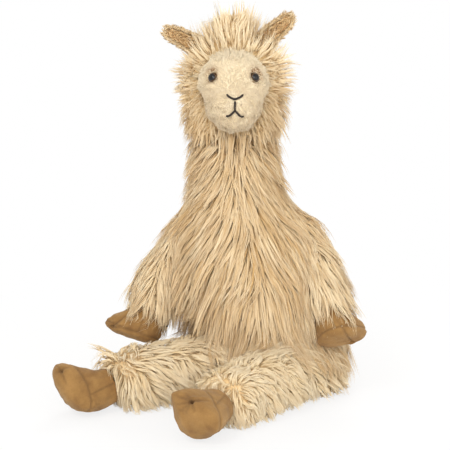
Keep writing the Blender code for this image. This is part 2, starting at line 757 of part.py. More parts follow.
def hoof_ring(radius, shift, half_length, half_width, share, depth, seam):
    """One ring of a hoof: round at the ankle, egg-shaped with a narrow toe at the sole."""
    points = []
    for column in range(HOOF_COLUMNS):
        angle = 2 * math.pi * column / HOOF_COLUMNS
        narrow = 1 - TOE_TAPER * share * math.cos(angle)
        length = radius + (half_length - radius) * share
        width = radius + (half_width - radius) * share
        groove = 1 - seam * SEAM_DEPTH / length if column % (HOOF_COLUMNS // 4) == 0 else 1.0
        points.append(Vector((shift * share + length * math.cos(angle) * groove,
                              width * math.sin(angle) * narrow * groove, -depth)))
    return points


def make_hoof(name, place, sole, toe, depth):
    """Hoof of four panels, drawn together in a pucker near the toe."""
    half_length, half_width = SOLE_LENGTH / 2, SOLE_WIDTH / 2
    edge = depth * SOLE_EDGE
    rings = []
    for row in range(HOOF_WALL_ROWS + 1):
        share = row / HOOF_WALL_ROWS
        swell = share * share * (3 - 2 * share)
        rings.append(hoof_ring(ANKLE_RADIUS, TOE_SHIFT, half_length, half_width, swell, edge * share, share))
    groove = hoof_ring(ANKLE_RADIUS, TOE_SHIFT, half_length - SEAM_DEPTH, half_width - SEAM_DEPTH, 1.0,
                       edge + SEAM_DEPTH, 1.0)
    rings.append(groove)
    for row in range(HOOF_DOME_ROWS):
        turn = math.pi / 2 * (row + 0.6) / HOOF_DOME_ROWS
        level = edge + 2 * SEAM_DEPTH + (depth - edge - 2 * SEAM_DEPTH) * math.sin(turn)
        size = math.cos(turn)
        points = hoof_ring(ANKLE_RADIUS, TOE_SHIFT, half_length, half_width, 1.0, level, 1.0)
        drawn = TOE_SHIFT + PUCKER_SHIFT
        rings.append([Vector((drawn + (p.x - drawn) * size, p.y * size, p.z)) for p in points])
    pucker = Vector((TOE_SHIFT + PUCKER_SHIFT, 0.0, -depth + PUCKER_DEPTH))
    bag, _ = sweep(rings, pucker)
    stand = Matrix.Translation(place + Vector(sole).normalized() * CLEARANCE) @ frame_of(sole, toe).to_4x4()
    bag.transform(stand)
    for vertex in bag.verts:
        vertex.co = above_ground(vertex.co, 0.0)
    return add_object(name, bag, TAN_SUEDE)


def make_arms():
    """Two arms with their hooves, all of which may press into the torso's coat.

    Returns the pieces that the torso cuts, and the left hoof, which presses on the left leg.
    """
    settings = (
        ("left", 1, LEFT_WRIST_HEIGHT, LEFT_WRIST_STANDOFF, LEFT_WRIST_FORWARD, LEFT_FRONT_SOLE,
         LEFT_FRONT_TOE),
        ("right", -1, RIGHT_WRIST_HEIGHT, RIGHT_WRIST_STANDOFF, RIGHT_WRIST_FORWARD, RIGHT_FRONT_SOLE,
         RIGHT_FRONT_TOE),
    )
    arms = []
    hooves = {}
    for side, sign, height, standoff, forward, sole, toe in settings:
        path = arm_path(sign, height, standoff, forward, sole)
        radii = (ARM_SHOULDER_RADIUS, ARM_WRIST_RADIUS)
        arms.append(make_limb("arm_" + side, path, radii, ARM_ROWS, ARM_COLUMNS, CREAM_FUR))
        hooves[side] = make_hoof("front_hoof_" + side, path[2], sole, toe, FRONT_HOOF_DEPTH)
    return arms + list(hooves.values()), hooves["left"]


def make_legs(resting_hoof):
    """Two legs with their hooves; the right leg and a resting front hoof press on the left leg."""
    radii = (LEG_HIP_RADIUS, LEG_ANKLE_RADIUS)
    left_path = leg_path(LEFT_HIP, LEFT_LEG_HEADING, LEFT_LEG_LENGTH, LEFT_HIND_SOLE)
    right_path = leg_path(RIGHT_HIP, RIGHT_LEG_HEADING, RIGHT_LEG_LENGTH, RIGHT_HIND_SOLE)
    left = make_limb("leg_left", left_path, radii, LEG_ROWS, LEG_COLUMNS, PALE_FUR)
    right = make_limb("leg_right", right_path, radii, LEG_ROWS, LEG_COLUMNS, PALE_FUR,
                      lambda place: in_limb(place, left_path, radii, 2 * LIMB_LOCK_LIFT))
    flats = math.cos(math.pi / LEG_COLUMNS / 2)
    room_radii = [(radius + LIMB_LOCK_LIFT) / flats + CLEARANCE for radius in radii]
    room, _ = sweep(limb_rings(left_path, room_radii, LEG_ROWS, 2 * LEG_COLUMNS))
    left_leg_room = add_cutter("left_leg_room", room)
    cut(right, left_leg_room)
    cut(resting_hoof, left_leg_room)
    make_hoof("hind_hoof_left", left_path[2], LEFT_HIND_SOLE, LEFT_HIND_TOE, HIND_HOOF_DEPTH)
    make_hoof("hind_hoof_right", right_path[2], RIGHT_HIND_SOLE, RIGHT_HIND_TOE, HIND_HOOF_DEPTH)
    return [left, right]


def main():
    """Clear the scene and build the toy from the seat up."""
    for old in list(bpy.data.objects):
        bpy.data.objects.remove(old, do_unlink=True)
    make_body()
    make_head()
    make_face()
    make_ears()
    room = torso_envelope()
    arms_and_hooves, resting_hoof = make_arms()
    for piece in arms_and_hooves + make_legs(resting_hoof):
        cut(piece, room)


main()
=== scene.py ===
"""Seated plush llama, dressed: a long shaggy coat, a short-pile face, suede hooves and glossy eyes.

Metres, +Z up, the toy looks along -Y and its left side is at +X.
"""

import logging
import math
from collections.abc import Callable
from dataclasses import dataclass, field
from enum import Enum

import bmesh
import bpy
import numpy as np
from mathutils import Matrix, Vector
from mathutils.bvhtree import BVHTree
from mathutils.kdtree import KDTree


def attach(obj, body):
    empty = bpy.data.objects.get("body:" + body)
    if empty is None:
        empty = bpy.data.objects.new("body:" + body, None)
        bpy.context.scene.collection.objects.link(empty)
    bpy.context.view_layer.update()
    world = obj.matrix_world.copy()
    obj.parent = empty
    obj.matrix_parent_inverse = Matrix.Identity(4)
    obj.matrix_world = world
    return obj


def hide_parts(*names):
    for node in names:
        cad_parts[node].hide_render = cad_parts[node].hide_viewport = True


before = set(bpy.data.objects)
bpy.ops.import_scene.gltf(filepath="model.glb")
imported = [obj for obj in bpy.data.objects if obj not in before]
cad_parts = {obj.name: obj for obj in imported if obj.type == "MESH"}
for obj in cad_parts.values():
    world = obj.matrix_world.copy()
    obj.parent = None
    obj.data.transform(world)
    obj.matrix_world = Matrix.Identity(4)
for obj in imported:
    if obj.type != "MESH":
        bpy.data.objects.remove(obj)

MM = 0.001
MAP = "OFBake"
COLUMNS = 128
DOWN = np.array((0.0, 0.0, -1.0))
WHITE = (1.0, 1.0, 1.0)
WELD = 0.002 * MM

Colour = tuple[float, float, float]
Rows = np.ndarray
Socket = bpy.types.NodeSocket
Bag = bmesh.types.BMesh
Field = Callable[[Rows, Rows], Rows]


def srgb(red: int, green: int, blue: int) -> Colour:
    """Linear colour of a colour given on a screen's scale.

    Args:
        red: Red, 0 to 255.
        green: Green, 0 to 255.
        blue: Blue, 0 to 255.

    Returns:
        The same colour in linear light.
    """
    return tuple(((c / 255 + 0.055) / 1.055) ** 2.4 if c > 10 else c / 3294.6 for c in (red, green, blue))


def mm(x: float, y: float, z: float) -> Vector:
    """Place or step given in millimetres."""
    return Vector((x, y, z)) * MM


def unit(rows: Rows) -> Rows:
    """Each row brought to length one."""
    return rows / np.maximum(np.linalg.norm(rows, axis=-1, keepdims=True), 1e-9)


class Sheet:
    """Node tree of one material, with a short way to add and join its nodes."""

    def __init__(self, name: str) -> None:
        """Start a material that holds one Principled shader."""
        self.material = bpy.data.materials.new(name)
        self.material.use_nodes = True
        self.tree = self.material.node_tree
        self.shader = self.tree.nodes["Principled BSDF"]

    def add(self, kind: str, inputs: dict[str | int, object] | None = None,
            **settings: object) -> bpy.types.Node:
        """Add a node.

        Args:
            kind: The node's type name.
            inputs: Sockets by name or number, each with a value or with the output that feeds it.
            **settings: The node's own properties.

        Returns:
            The new node.
        """
        node = self.tree.nodes.new(kind)
        for name, value in settings.items():
            setattr(node, name, value)
        for name, value in (inputs or {}).items():
            self.feed(node.inputs[name], value)
        return node

    def feed(self, socket: Socket, value: object) -> None:
        """Join an output to a socket, or set the socket's value."""
        if isinstance(value, Socket):
            self.tree.links.new(value, socket)
        elif socket.type == "RGBA":
            socket.default_value = (*value, 1.0)
        else:
            socket.default_value = value

    def ramp(self, share: Socket, stops: tuple[tuple[float, Colour], ...]) -> Socket:
        """Colours along a value.

        Args:
            share: The output that runs from 0 to 1.
            stops: Places and their colours.

        Returns:
            The colour's output.
        """
        node = self.add("ShaderNodeValToRGB", {0: share})
        band = node.color_ramp
        while len(band.elements) < len(stops):
            band.elements.new(0.5)
        for element, (place, colour) in zip(band.elements, stops):
            element.position = place
            element.color = (*colour, 1.0)
        return node.outputs[0]

    def grey(self, share: Socket, *stops: tuple[float, float]) -> Socket:
        """Plain values along a value."""
        return self.ramp(share, tuple((place, (level,) * 3) for place, level in stops))

    def mix(self, factor: object, first: object, second: object, way: str = "MIX") -> Socket:
        """Blend of two colours."""
        node = self.add("ShaderNodeMix", data_type="RGBA", blend_type=way)
        self.feed(node.inputs[0], factor)
        self.feed(node.inputs[6], first)
        self.feed(node.inputs[7], second)
        return node.outputs[2]

    def math(self, way: str, first: object, second: object = 0.0) -> Socket:
        """Sum, product or the like of two values."""
        return self.add("ShaderNodeMath", {0: first, 1: second}, operation=way).outputs[0]

    def vector(self, way: str, first: object, second: object = (0.0, 0.0, 0.0)) -> bpy.types.Node:
        """Sum, product or the like of two vectors."""
        return self.add("ShaderNodeVectorMath", {0: first, 1: second}, operation=way)

    def noise(self, vector: object, scale: float, detail: float = 2.0, roughness: float = 0.5) -> Socket:
        """Cloudy value from a place."""
        inputs = {"Vector": vector, "Scale": scale, "Detail": detail, "Roughness": roughness}
        return self.add("ShaderNodeTexNoise", inputs).outputs[0]

    def places(self) -> Socket:
        """The object's own coordinates."""
        return self.add("ShaderNodeTexCoord").outputs["Object"]

    def bump(self, height: object, distance: float) -> None:
        """Raise the surface by a height."""
        node = self.add("ShaderNodeBump", {"Height": height, "Distance": distance, "Strength": 1.0})
        self.shade({"Normal": node.outputs[0]})

    def shade(self, inputs: dict[str, object]) -> None:
        """Join outputs to the shader's sockets, or set their values."""
        for name, value in inputs.items():
            self.feed(self.shader.inputs[name], value)


@dataclass(frozen=True)
class FurFinish:
    """Fur: across the map the hairs go from dark to light, and up the map from root to tip."""

    name: str
    root_dark: Colour
    root_light: Colour
    tip_dark: Colour
    tip_light: Colour
    roughness: float = 0.62
    sheen: float = 0.1
    glow: float = 0.15
    streak: Colour = srgb(212, 190, 154)

    def make(self) -> bpy.types.Material:
        """Build the material."""
        sheet = Sheet(self.name)
        spot = sheet.add("ShaderNodeUVMap", uv_map=MAP).outputs[0]
        split = sheet.add("ShaderNodeSeparateXYZ", {0: spot})
        across, along = split.outputs[0], split.outputs[1]
        roots = sheet.mix(across, self.root_dark, self.root_light)
        tips = sheet.mix(across, self.tip_dark, self.tip_light)
        # Roots darker than tips: partly the fur's own tone, partly painted shade deep in the pile.
        body = sheet.mix(sheet.math("POWER", along, 0.75), roots, tips)
        streaks = sheet.add("ShaderNodeMapping", {0: spot, 3: (90.0, 3.0, 1.0)}).outputs[0]
        streak = sheet.noise(streaks, 2.2, 3.0)
        tone = sheet.ramp(streak, ((0.3, self.streak), (0.62, WHITE)))
        rough = sheet.math("MULTIPLY_ADD", streak, 0.15)
        rough.node.inputs[2].default_value = self.roughness
        sheet.shade({"Base Color": sheet.mix(0.3, body, tone, "MULTIPLY"), "Roughness": rough,
                     "Specular IOR Level": 0.3, "Sheen Weight": self.sheen, "Sheen Roughness": 0.5,
                     "Sheen Tint": (1.0, 0.95, 0.85), "Subsurface Weight": self.glow,
                     "Subsurface Radius": (1.0, 0.8, 0.55), "Subsurface Scale": 4 * MM})
        return sheet.material


@dataclass(frozen=True)
class BackingFinish:
    """Knitted cloth that the fur grows from, seen only between the locks."""

    name: str
    dark: Colour
    light: Colour

    def make(self) -> bpy.types.Material:
        """Build the material."""
        sheet = Sheet(self.name)
        place = sheet.places()
        combed = sheet.add("ShaderNodeMapping", {0: place, 3: (1.0, 1.0, 0.18)}).outputs[0]
        streak = sheet.noise(combed, 420.0, 3.0, 0.6)
        cloud = sheet.noise(place, 60.0)
        blend = sheet.math("MULTIPLY", streak, cloud)
        sheet.shade({"Base Color": sheet.ramp(blend, ((0.15, self.dark), (0.4, self.light))),
                     "Roughness": sheet.grey(cloud, (0.0, 0.8), (1.0, 0.95))})
        sheet.bump(streak, 1.2 * MM)
        return sheet.material


@dataclass(frozen=True)
class SuedeFinish:
    """Brushed suede-like cloth: nap that lies both ways, dark seam lines with painted shade in the creases, a
    fine grain.
    """

    name: str = "tan_suede"
    shade: Colour = srgb(126, 88, 42)
    body: Colour = srgb(148, 110, 58)
    light: Colour = srgb(166, 126, 72)
    # Colour of the dark seam lines, and of the painted shade in the creases and the toe's dimple.
    fold: Colour = srgb(78, 50, 22)
    speckle: Colour = srgb(190, 170, 140)

    def make(self) -> bpy.types.Material:
        """Build the material."""
        sheet = Sheet(self.name)
        place = sheet.places()
        nap = sheet.noise(place, 55.0, 4.0, 0.6)
        grain = sheet.noise(place, 1400.0, 3.0, 0.7)
        brushed = sheet.ramp(nap, ((0.3, self.shade), (0.5, self.body), (0.72, self.light)))
        speckles = sheet.ramp(grain, ((0.3, self.speckle), (0.65, WHITE)))
        speckled = sheet.mix(0.35, brushed, speckles, "MULTIPLY")
        seam_and_crease_shades = sheet.add("ShaderNodeAttribute", attribute_name="fold").outputs["Fac"]
        sheet.shade({"Base Color": sheet.mix(seam_and_crease_shades, speckled, self.fold),
                     "Roughness": sheet.grey(nap, (0.2, 0.8), (0.8, 0.95)),
                     "Sheen Weight": 0.2, "Sheen Roughness": 0.6, "Sheen Tint": (1.0, 0.78, 0.5)})
        height = sheet.math("MULTIPLY_ADD", nap, 3.0)
        sheet.feed(height.node.inputs[2], grain)
        sheet.bump(height, 0.25 * MM)
        return sheet.material


@dataclass(frozen=True)
class EyeFinish:
    """Glossy amber eye: a black pupil, a brown iris with fine rays and a dark rim, round one axis."""

    name: str
    centre: Vector
    axis: Vector
    radius: float
    pupil: float = 0.66
    rim: float = 0.93

    def make(self) -> bpy.types.Material:
        """Build the material."""
        sheet = Sheet(self.name)
        place = sheet.places()
        turn = self.axis.to_track_quat("Z", "Y").to_euler()
        centred = sheet.vector("SUBTRACT", place, self.centre).outputs[0]
        local = sheet.add("ShaderNodeVectorRotate", {"Vector": centred, "Rotation": turn},
                          rotation_type="EULER_XYZ", invert=True).outputs[0]
        flat = sheet.vector("MULTIPLY", local, (1.0, 1.0, 0.0)).outputs[0]
        share = sheet.math("DIVIDE", sheet.vector("LENGTH", flat).outputs["Value"], self.radius)
        rays = sheet.vector("NORMALIZE", flat).outputs[0]
        ray = sheet.noise(rays, 9.0, 4.0, 0.7)
        iris = sheet.ramp(ray, ((0.3, srgb(36, 22, 10)), (0.5, srgb(74, 48, 20)), (0.75, srgb(112, 76, 32))))
        ring = sheet.grey(share, (self.pupil - 0.03, 0.0), (self.pupil + 0.03, 1.0), (self.rim - 0.06, 0.9),
                          (self.rim, 0.05))
        sheet.shade({"Base Color": sheet.mix(ring, srgb(10, 7, 5), iris), "Roughness": 0.25,
                     "Specular IOR Level": 0.05, "Coat Weight": 0.9, "Coat Roughness": 0.03})
        return sheet.material


@dataclass(frozen=True)
class ThreadFinish:
    """Twisted embroidery thread, near black, with a low gleam."""

    name: str = "dark_thread"

    def make(self) -> bpy.types.Material:
        """Build the material."""
        sheet = Sheet(self.name)
        place = sheet.places()
        twist = sheet.add("ShaderNodeMapping", {0: place, 2: (0.0, math.radians(40), 0.0)}).outputs[0]
        strands = sheet.add("ShaderNodeTexWave", {"Vector": twist, "Scale": 420.0, "Distortion": 1.5,
                                                  "Detail": 2.0}).outputs[1]
        sheet.shade({"Base Color": sheet.ramp(strands, ((0.2, srgb(18, 11, 8)), (0.9, srgb(52, 36, 26)))),
                     "Roughness": sheet.grey(strands, (0.0, 0.65), (1.0, 0.45))})
        sheet.bump(strands, 0.15 * MM)
        return sheet.material


@dataclass(frozen=True)
class WasherFinish:
    """Natural moulded plastic."""

    name: str = "washer_plastic"

    def make(self) -> bpy.types.Material:
        """Build the material."""
        sheet = Sheet(self.name)
        cloud = sheet.noise(sheet.places(), 300.0, 3.0)
        colour = sheet.ramp(cloud, ((0.3, srgb(222, 220, 212)), (0.7, srgb(234, 232, 226))))
        sheet.shade({"Base Color": colour, "Roughness": sheet.grey(cloud, (0.2, 0.4), (0.8, 0.55))})
        sheet.bump(cloud, 0.05 * MM)
        return sheet.material


CREAM_FUR = FurFinish("cream_fur", srgb(180, 130, 60), srgb(246, 220, 172),
                      srgb(194, 151, 86), srgb(252, 238, 206))
PALE_FUR = FurFinish("pale_fur", srgb(218, 182, 124), srgb(242, 220, 176),
                     srgb(230, 204, 156), srgb(248, 238, 214))
# Its dark end is reached mostly in the painted shade of the eye sockets.
IVORY_PLUSH = FurFinish("ivory_plush", srgb(140, 92, 46), srgb(250, 236, 206),
                        srgb(160, 112, 62), srgb(250, 238, 210), glow=0.0)
TAN_PLUSH = FurFinish("tan_plush", srgb(178, 132, 78), srgb(236, 200, 144),
                      srgb(212, 170, 112), srgb(248, 222, 174))
CREAM_BACKING = BackingFinish("cream_backing", srgb(206, 174, 124), srgb(226, 200, 154))
PALE_BACKING = BackingFinish("pale_backing", srgb(224, 190, 138), srgb(244, 220, 176))
IVORY_BACKING = BackingFinish("ivory_backing", srgb(222, 202, 164), srgb(240, 226, 196))
TAN_BACKING = BackingFinish("tan_backing", srgb(138, 98, 58), srgb(196, 154, 102))
SUEDE = SuedeFinish()
THREAD = ThreadFinish()
WASHER = WasherFinish()


class Wardrobe:
    """Materials by finish, each built once."""

    def __init__(self) -> None:
        """Start with nothing made."""
        self.made: dict[str, bpy.types.Material] = {}

    def get(self, finish: object) -> bpy.types.Material:
        """The material of a finish."""
        if finish.name not in self.made:
            self.made[finish.name] = finish.make()
        return self.made[finish.name]


WARDROBE = Wardrobe()


def add_piece(name: str, mesh: bpy.types.Mesh, finish: object) -> bpy.types.Object:
    """Object of one finished piece, riding on the toy's only body.

    Args:
        name: The piece's name.
        mesh: Its mesh, in place.
        finish: Its finish.

    Returns:
        The new object.
    """
    mesh.name = name
    mesh.materials.clear()
    mesh.materials.append(WARDROBE.get(finish))
    mesh.shade_smooth()
    piece = bpy.data.objects.new(name, mesh)
    bpy.context.scene.collection.objects.link(piece)
    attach(piece, "root")
    logging.info("%s: %d triangles", name, sum(len(p.vertices) - 2 for p in mesh.polygons))
    return piece


def merged_copy(node: str) -> Bag:
    """A node's solid as one joined mesh.

    Args:
        node: The node's name.

    Returns:
        A mesh builder that holds it.
    """
    bag = bmesh.new()
    bag.from_mesh(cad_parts[node].data)
    bmesh.ops.remove_doubles(bag, verts=bag.verts, dist=WELD)
    return bag


def to_mesh(bag: Bag, name: str) -> bpy.types.Mesh:
    """Mesh of a builder, which is freed."""
    mesh = bpy.data.meshes.new(name)
    bag.to_mesh(mesh)
    bag.free()
    return mesh


def remeshed(bag: Bag, voxel: float) -> Bag:
    """The same solid in even small faces.

    Args:
        bag: The solid, which is freed.
        voxel: Size of a face.

    Returns:
        A mesh builder of the result.
    """
    source = bpy.data.objects.new("remesh", to_mesh(bag, "remesh"))
    bpy.context.scene.collection.objects.link(source)
    change = source.modifiers.new("voxels", "REMESH")
    change.mode = "VOXEL"
    change.voxel_size = voxel
    mesh = bpy.data.meshes.new_from_object(source.evaluated_get(bpy.context.evaluated_depsgraph_get()))
    bpy.data.objects.remove(source)
    made = bmesh.new()
    made.from_mesh(mesh)
    bpy.data.meshes.remove(mesh)
    return made


def ease(bag: Bag, times: int) -> None:
    """Round a surface off a number of times."""
    for _ in range(times):
        bmesh.ops.smooth_vert(bag, verts=bag.verts, factor=0.5, use_axis_x=True, use_axis_y=True,
                              use_axis_z=True)


class Cloth:
    """Skin of one stuffed bag: what its hairs grow from and lie on."""

    def __init__(self, bag: Bag) -> None:
        """Take a surface and measure it; the builder stays with the cloth."""
        bag.normal_update()
        self.bag = bag
        self.tree = BVHTree.FromBMesh(bag)
        corners = [[loop.vert.co[:] for loop in loops] for loops in bag.calc_loop_triangles()]
        self.corners = np.array(corners)
        crosses = np.cross(self.corners[:, 1] - self.corners[:, 0], self.corners[:, 2] - self.corners[:, 0])
        self.areas = np.linalg.norm(crosses, axis=1) / 2
        self.normals = unit(crosses)
        self.low = self.corners.min((0, 1))
        self.high = self.corners.max((0, 1))

    def sow(self, count: int, thickness: Field, rng: np.random.Generator) -> tuple[Rows, Rows]:
        """Spread roots over the cloth.

        Args:
            count: How many roots to try for.
            thickness: Share of roots wanted at a place with a normal.
            rng: Source of chance.

        Returns:
            Places and normals.
        """
        middles = self.corners.mean(1)
        weights = self.areas * thickness(middles, self.normals)
        edges = np.cumsum(weights)
        marks = (np.arange(count) + rng.random(count)) / count * edges[-1]
        picked = np.searchsorted(edges, marks).clip(0, len(edges) - 1)
        one, two = rng.random((2, count, 1))
        flip = one + two > 1
        one, two = np.where(flip, 1 - one, one), np.where(flip, 1 - two, two)
        held = self.corners[picked]
        places = held[:, 0] + (held[:, 1] - held[:, 0]) * one + (held[:, 2] - held[:, 0]) * two
        return places, self.normals[picked]

    def near(self, places: Rows, reach: float) -> Rows:
        """Which places lie in the cloth's box, or within reach of it."""
        return np.all((places > self.low - reach) & (places < self.high + reach), axis=-1)

    def depth(self, place: Rows, reach: float = 0.03) -> float:
        """Distance of a place from the cloth, negative inside."""
        spot, normal, _, gap = self.tree.find_nearest(place, reach)
        if spot is None:
            return reach
        return math.copysign(gap, (Vector(place) - spot).dot(normal))

    def hold_off(self, places: Rows, clear: Rows) -> tuple[Rows, Rows]:
        """Move places out of the cloth.

        Args:
            places: Places, which are changed.
            clear: How far off the cloth each must be.

        Returns:
            The places, and the cloth's normal by each, or zero where it is far.
        """
        normals = np.zeros_like(places)
        for index in np.flatnonzero(self.near(places, 0.02)):
            spot, normal, _, _ = self.tree.find_nearest(places[index], 0.04)
            if spot is None:
                continue
            normals[index] = normal
            gap = (Vector(places[index]) - spot).dot(normal)
            if gap < clear[index]:
                places[index] = spot + normal * clear[index]
        return places, normals


class Breeze:
    """Smooth repeatable disorder over space."""

    def __init__(self, size: float, seed: int) -> None:
        """Set up waves about a size long."""
        rng = np.random.default_rng(seed)
        self.waves = unit(rng.normal(size=(9, 3))) * rng.uniform(0.6, 1.7, (9, 1)) * 2 * math.pi / size
        self.phases = rng.uniform(0, 2 * math.pi, 9)
        self.pushes = rng.normal(size=(9, 3)) / 3

    def at(self, places: Rows) -> Rows:
        """Push at each place."""
        return np.sin(places @ self.waves.T + self.phases) @ self.pushes


@dataclass(frozen=True)
class Pile:
    """Cut of one kind of fur. The lengths are in metres."""

    length: float
    width: float
    rings: int = 4
    variation: float = 0.3
    mottle: float = 0.5
    lift: float = 0.9
    droop: float = 0.25
    lock_gap: float = 13 * MM
    wisp_gap: float = 5 * MM
    lock_pull: float = 0.6
    wisp_pull: float = 0.75
    stray: float = 0.45
    frizz: float = 0.8 * MM
    thickness: float = 10 * MM
    proud: float = 0.3
    flatness: float = 0.35


def spikes(count: int, rings: int) -> tuple[bpy.types.Mesh, Rows, Rows, Rows]:
    """Closed three-sided spikes side by side, one for each hair.

    Args:
        count: How many.
        rings: Steps from root to tip.

    Returns:
        The mesh, and for each corner point the number of its hair, its step and its side.
    """
    bag = bmesh.new()
    across = math.ceil(math.sqrt(count / 2))
    bmesh.ops.create_grid(bag, x_segments=across, y_segments=across, size=1.0)
    bmesh.ops.triangulate(bag, faces=bag.faces)
    bmesh.ops.delete(bag, geom=list(bag.faces)[count:], context="FACES")
    bmesh.ops.split_edges(bag, edges=bag.edges)
    hair = bag.verts.layers.int.new("hair")
    step = bag.verts.layers.int.new("step")
    side = bag.verts.layers.int.new("side")
    for number, face in enumerate(bag.faces):
        for index, loop in enumerate(face.loops):
            loop.vert[hair] = number
            loop.vert[side] = index
    ends = list(bag.faces)
    for level in range(1, rings):
        ends = bmesh.ops.extrude_discrete_faces(bag, faces=ends)["faces"]
        for face in ends:
            for vert in face.verts:
                vert[step] = level
                vert.co.z = level
    for tip in bmesh.ops.poke(bag, faces=ends)["verts"]:
        tip[hair] = tip.link_edges[0].other_vert(tip)[hair]
        tip[side] = 2
        tip[step] = rings
        tip.co.z = rings
    bmesh.ops.holes_fill(bag, edges=[edge for edge in bag.edges if edge.is_boundary], sides=3)
    bmesh.ops.recalc_face_normals(bag, faces=bag.faces)
    mesh = to_mesh(bag, "spikes")
    found = []
    for name in ("hair", "step", "side"):
        values = np.zeros(len(mesh.vertices), np.int32)
        mesh.attributes[name].data.foreach_get("value", values)
        found.append(values)
    for name in ("hair", "step", "side"):
        mesh.attributes.remove(mesh.attributes[name])
    return mesh, *found


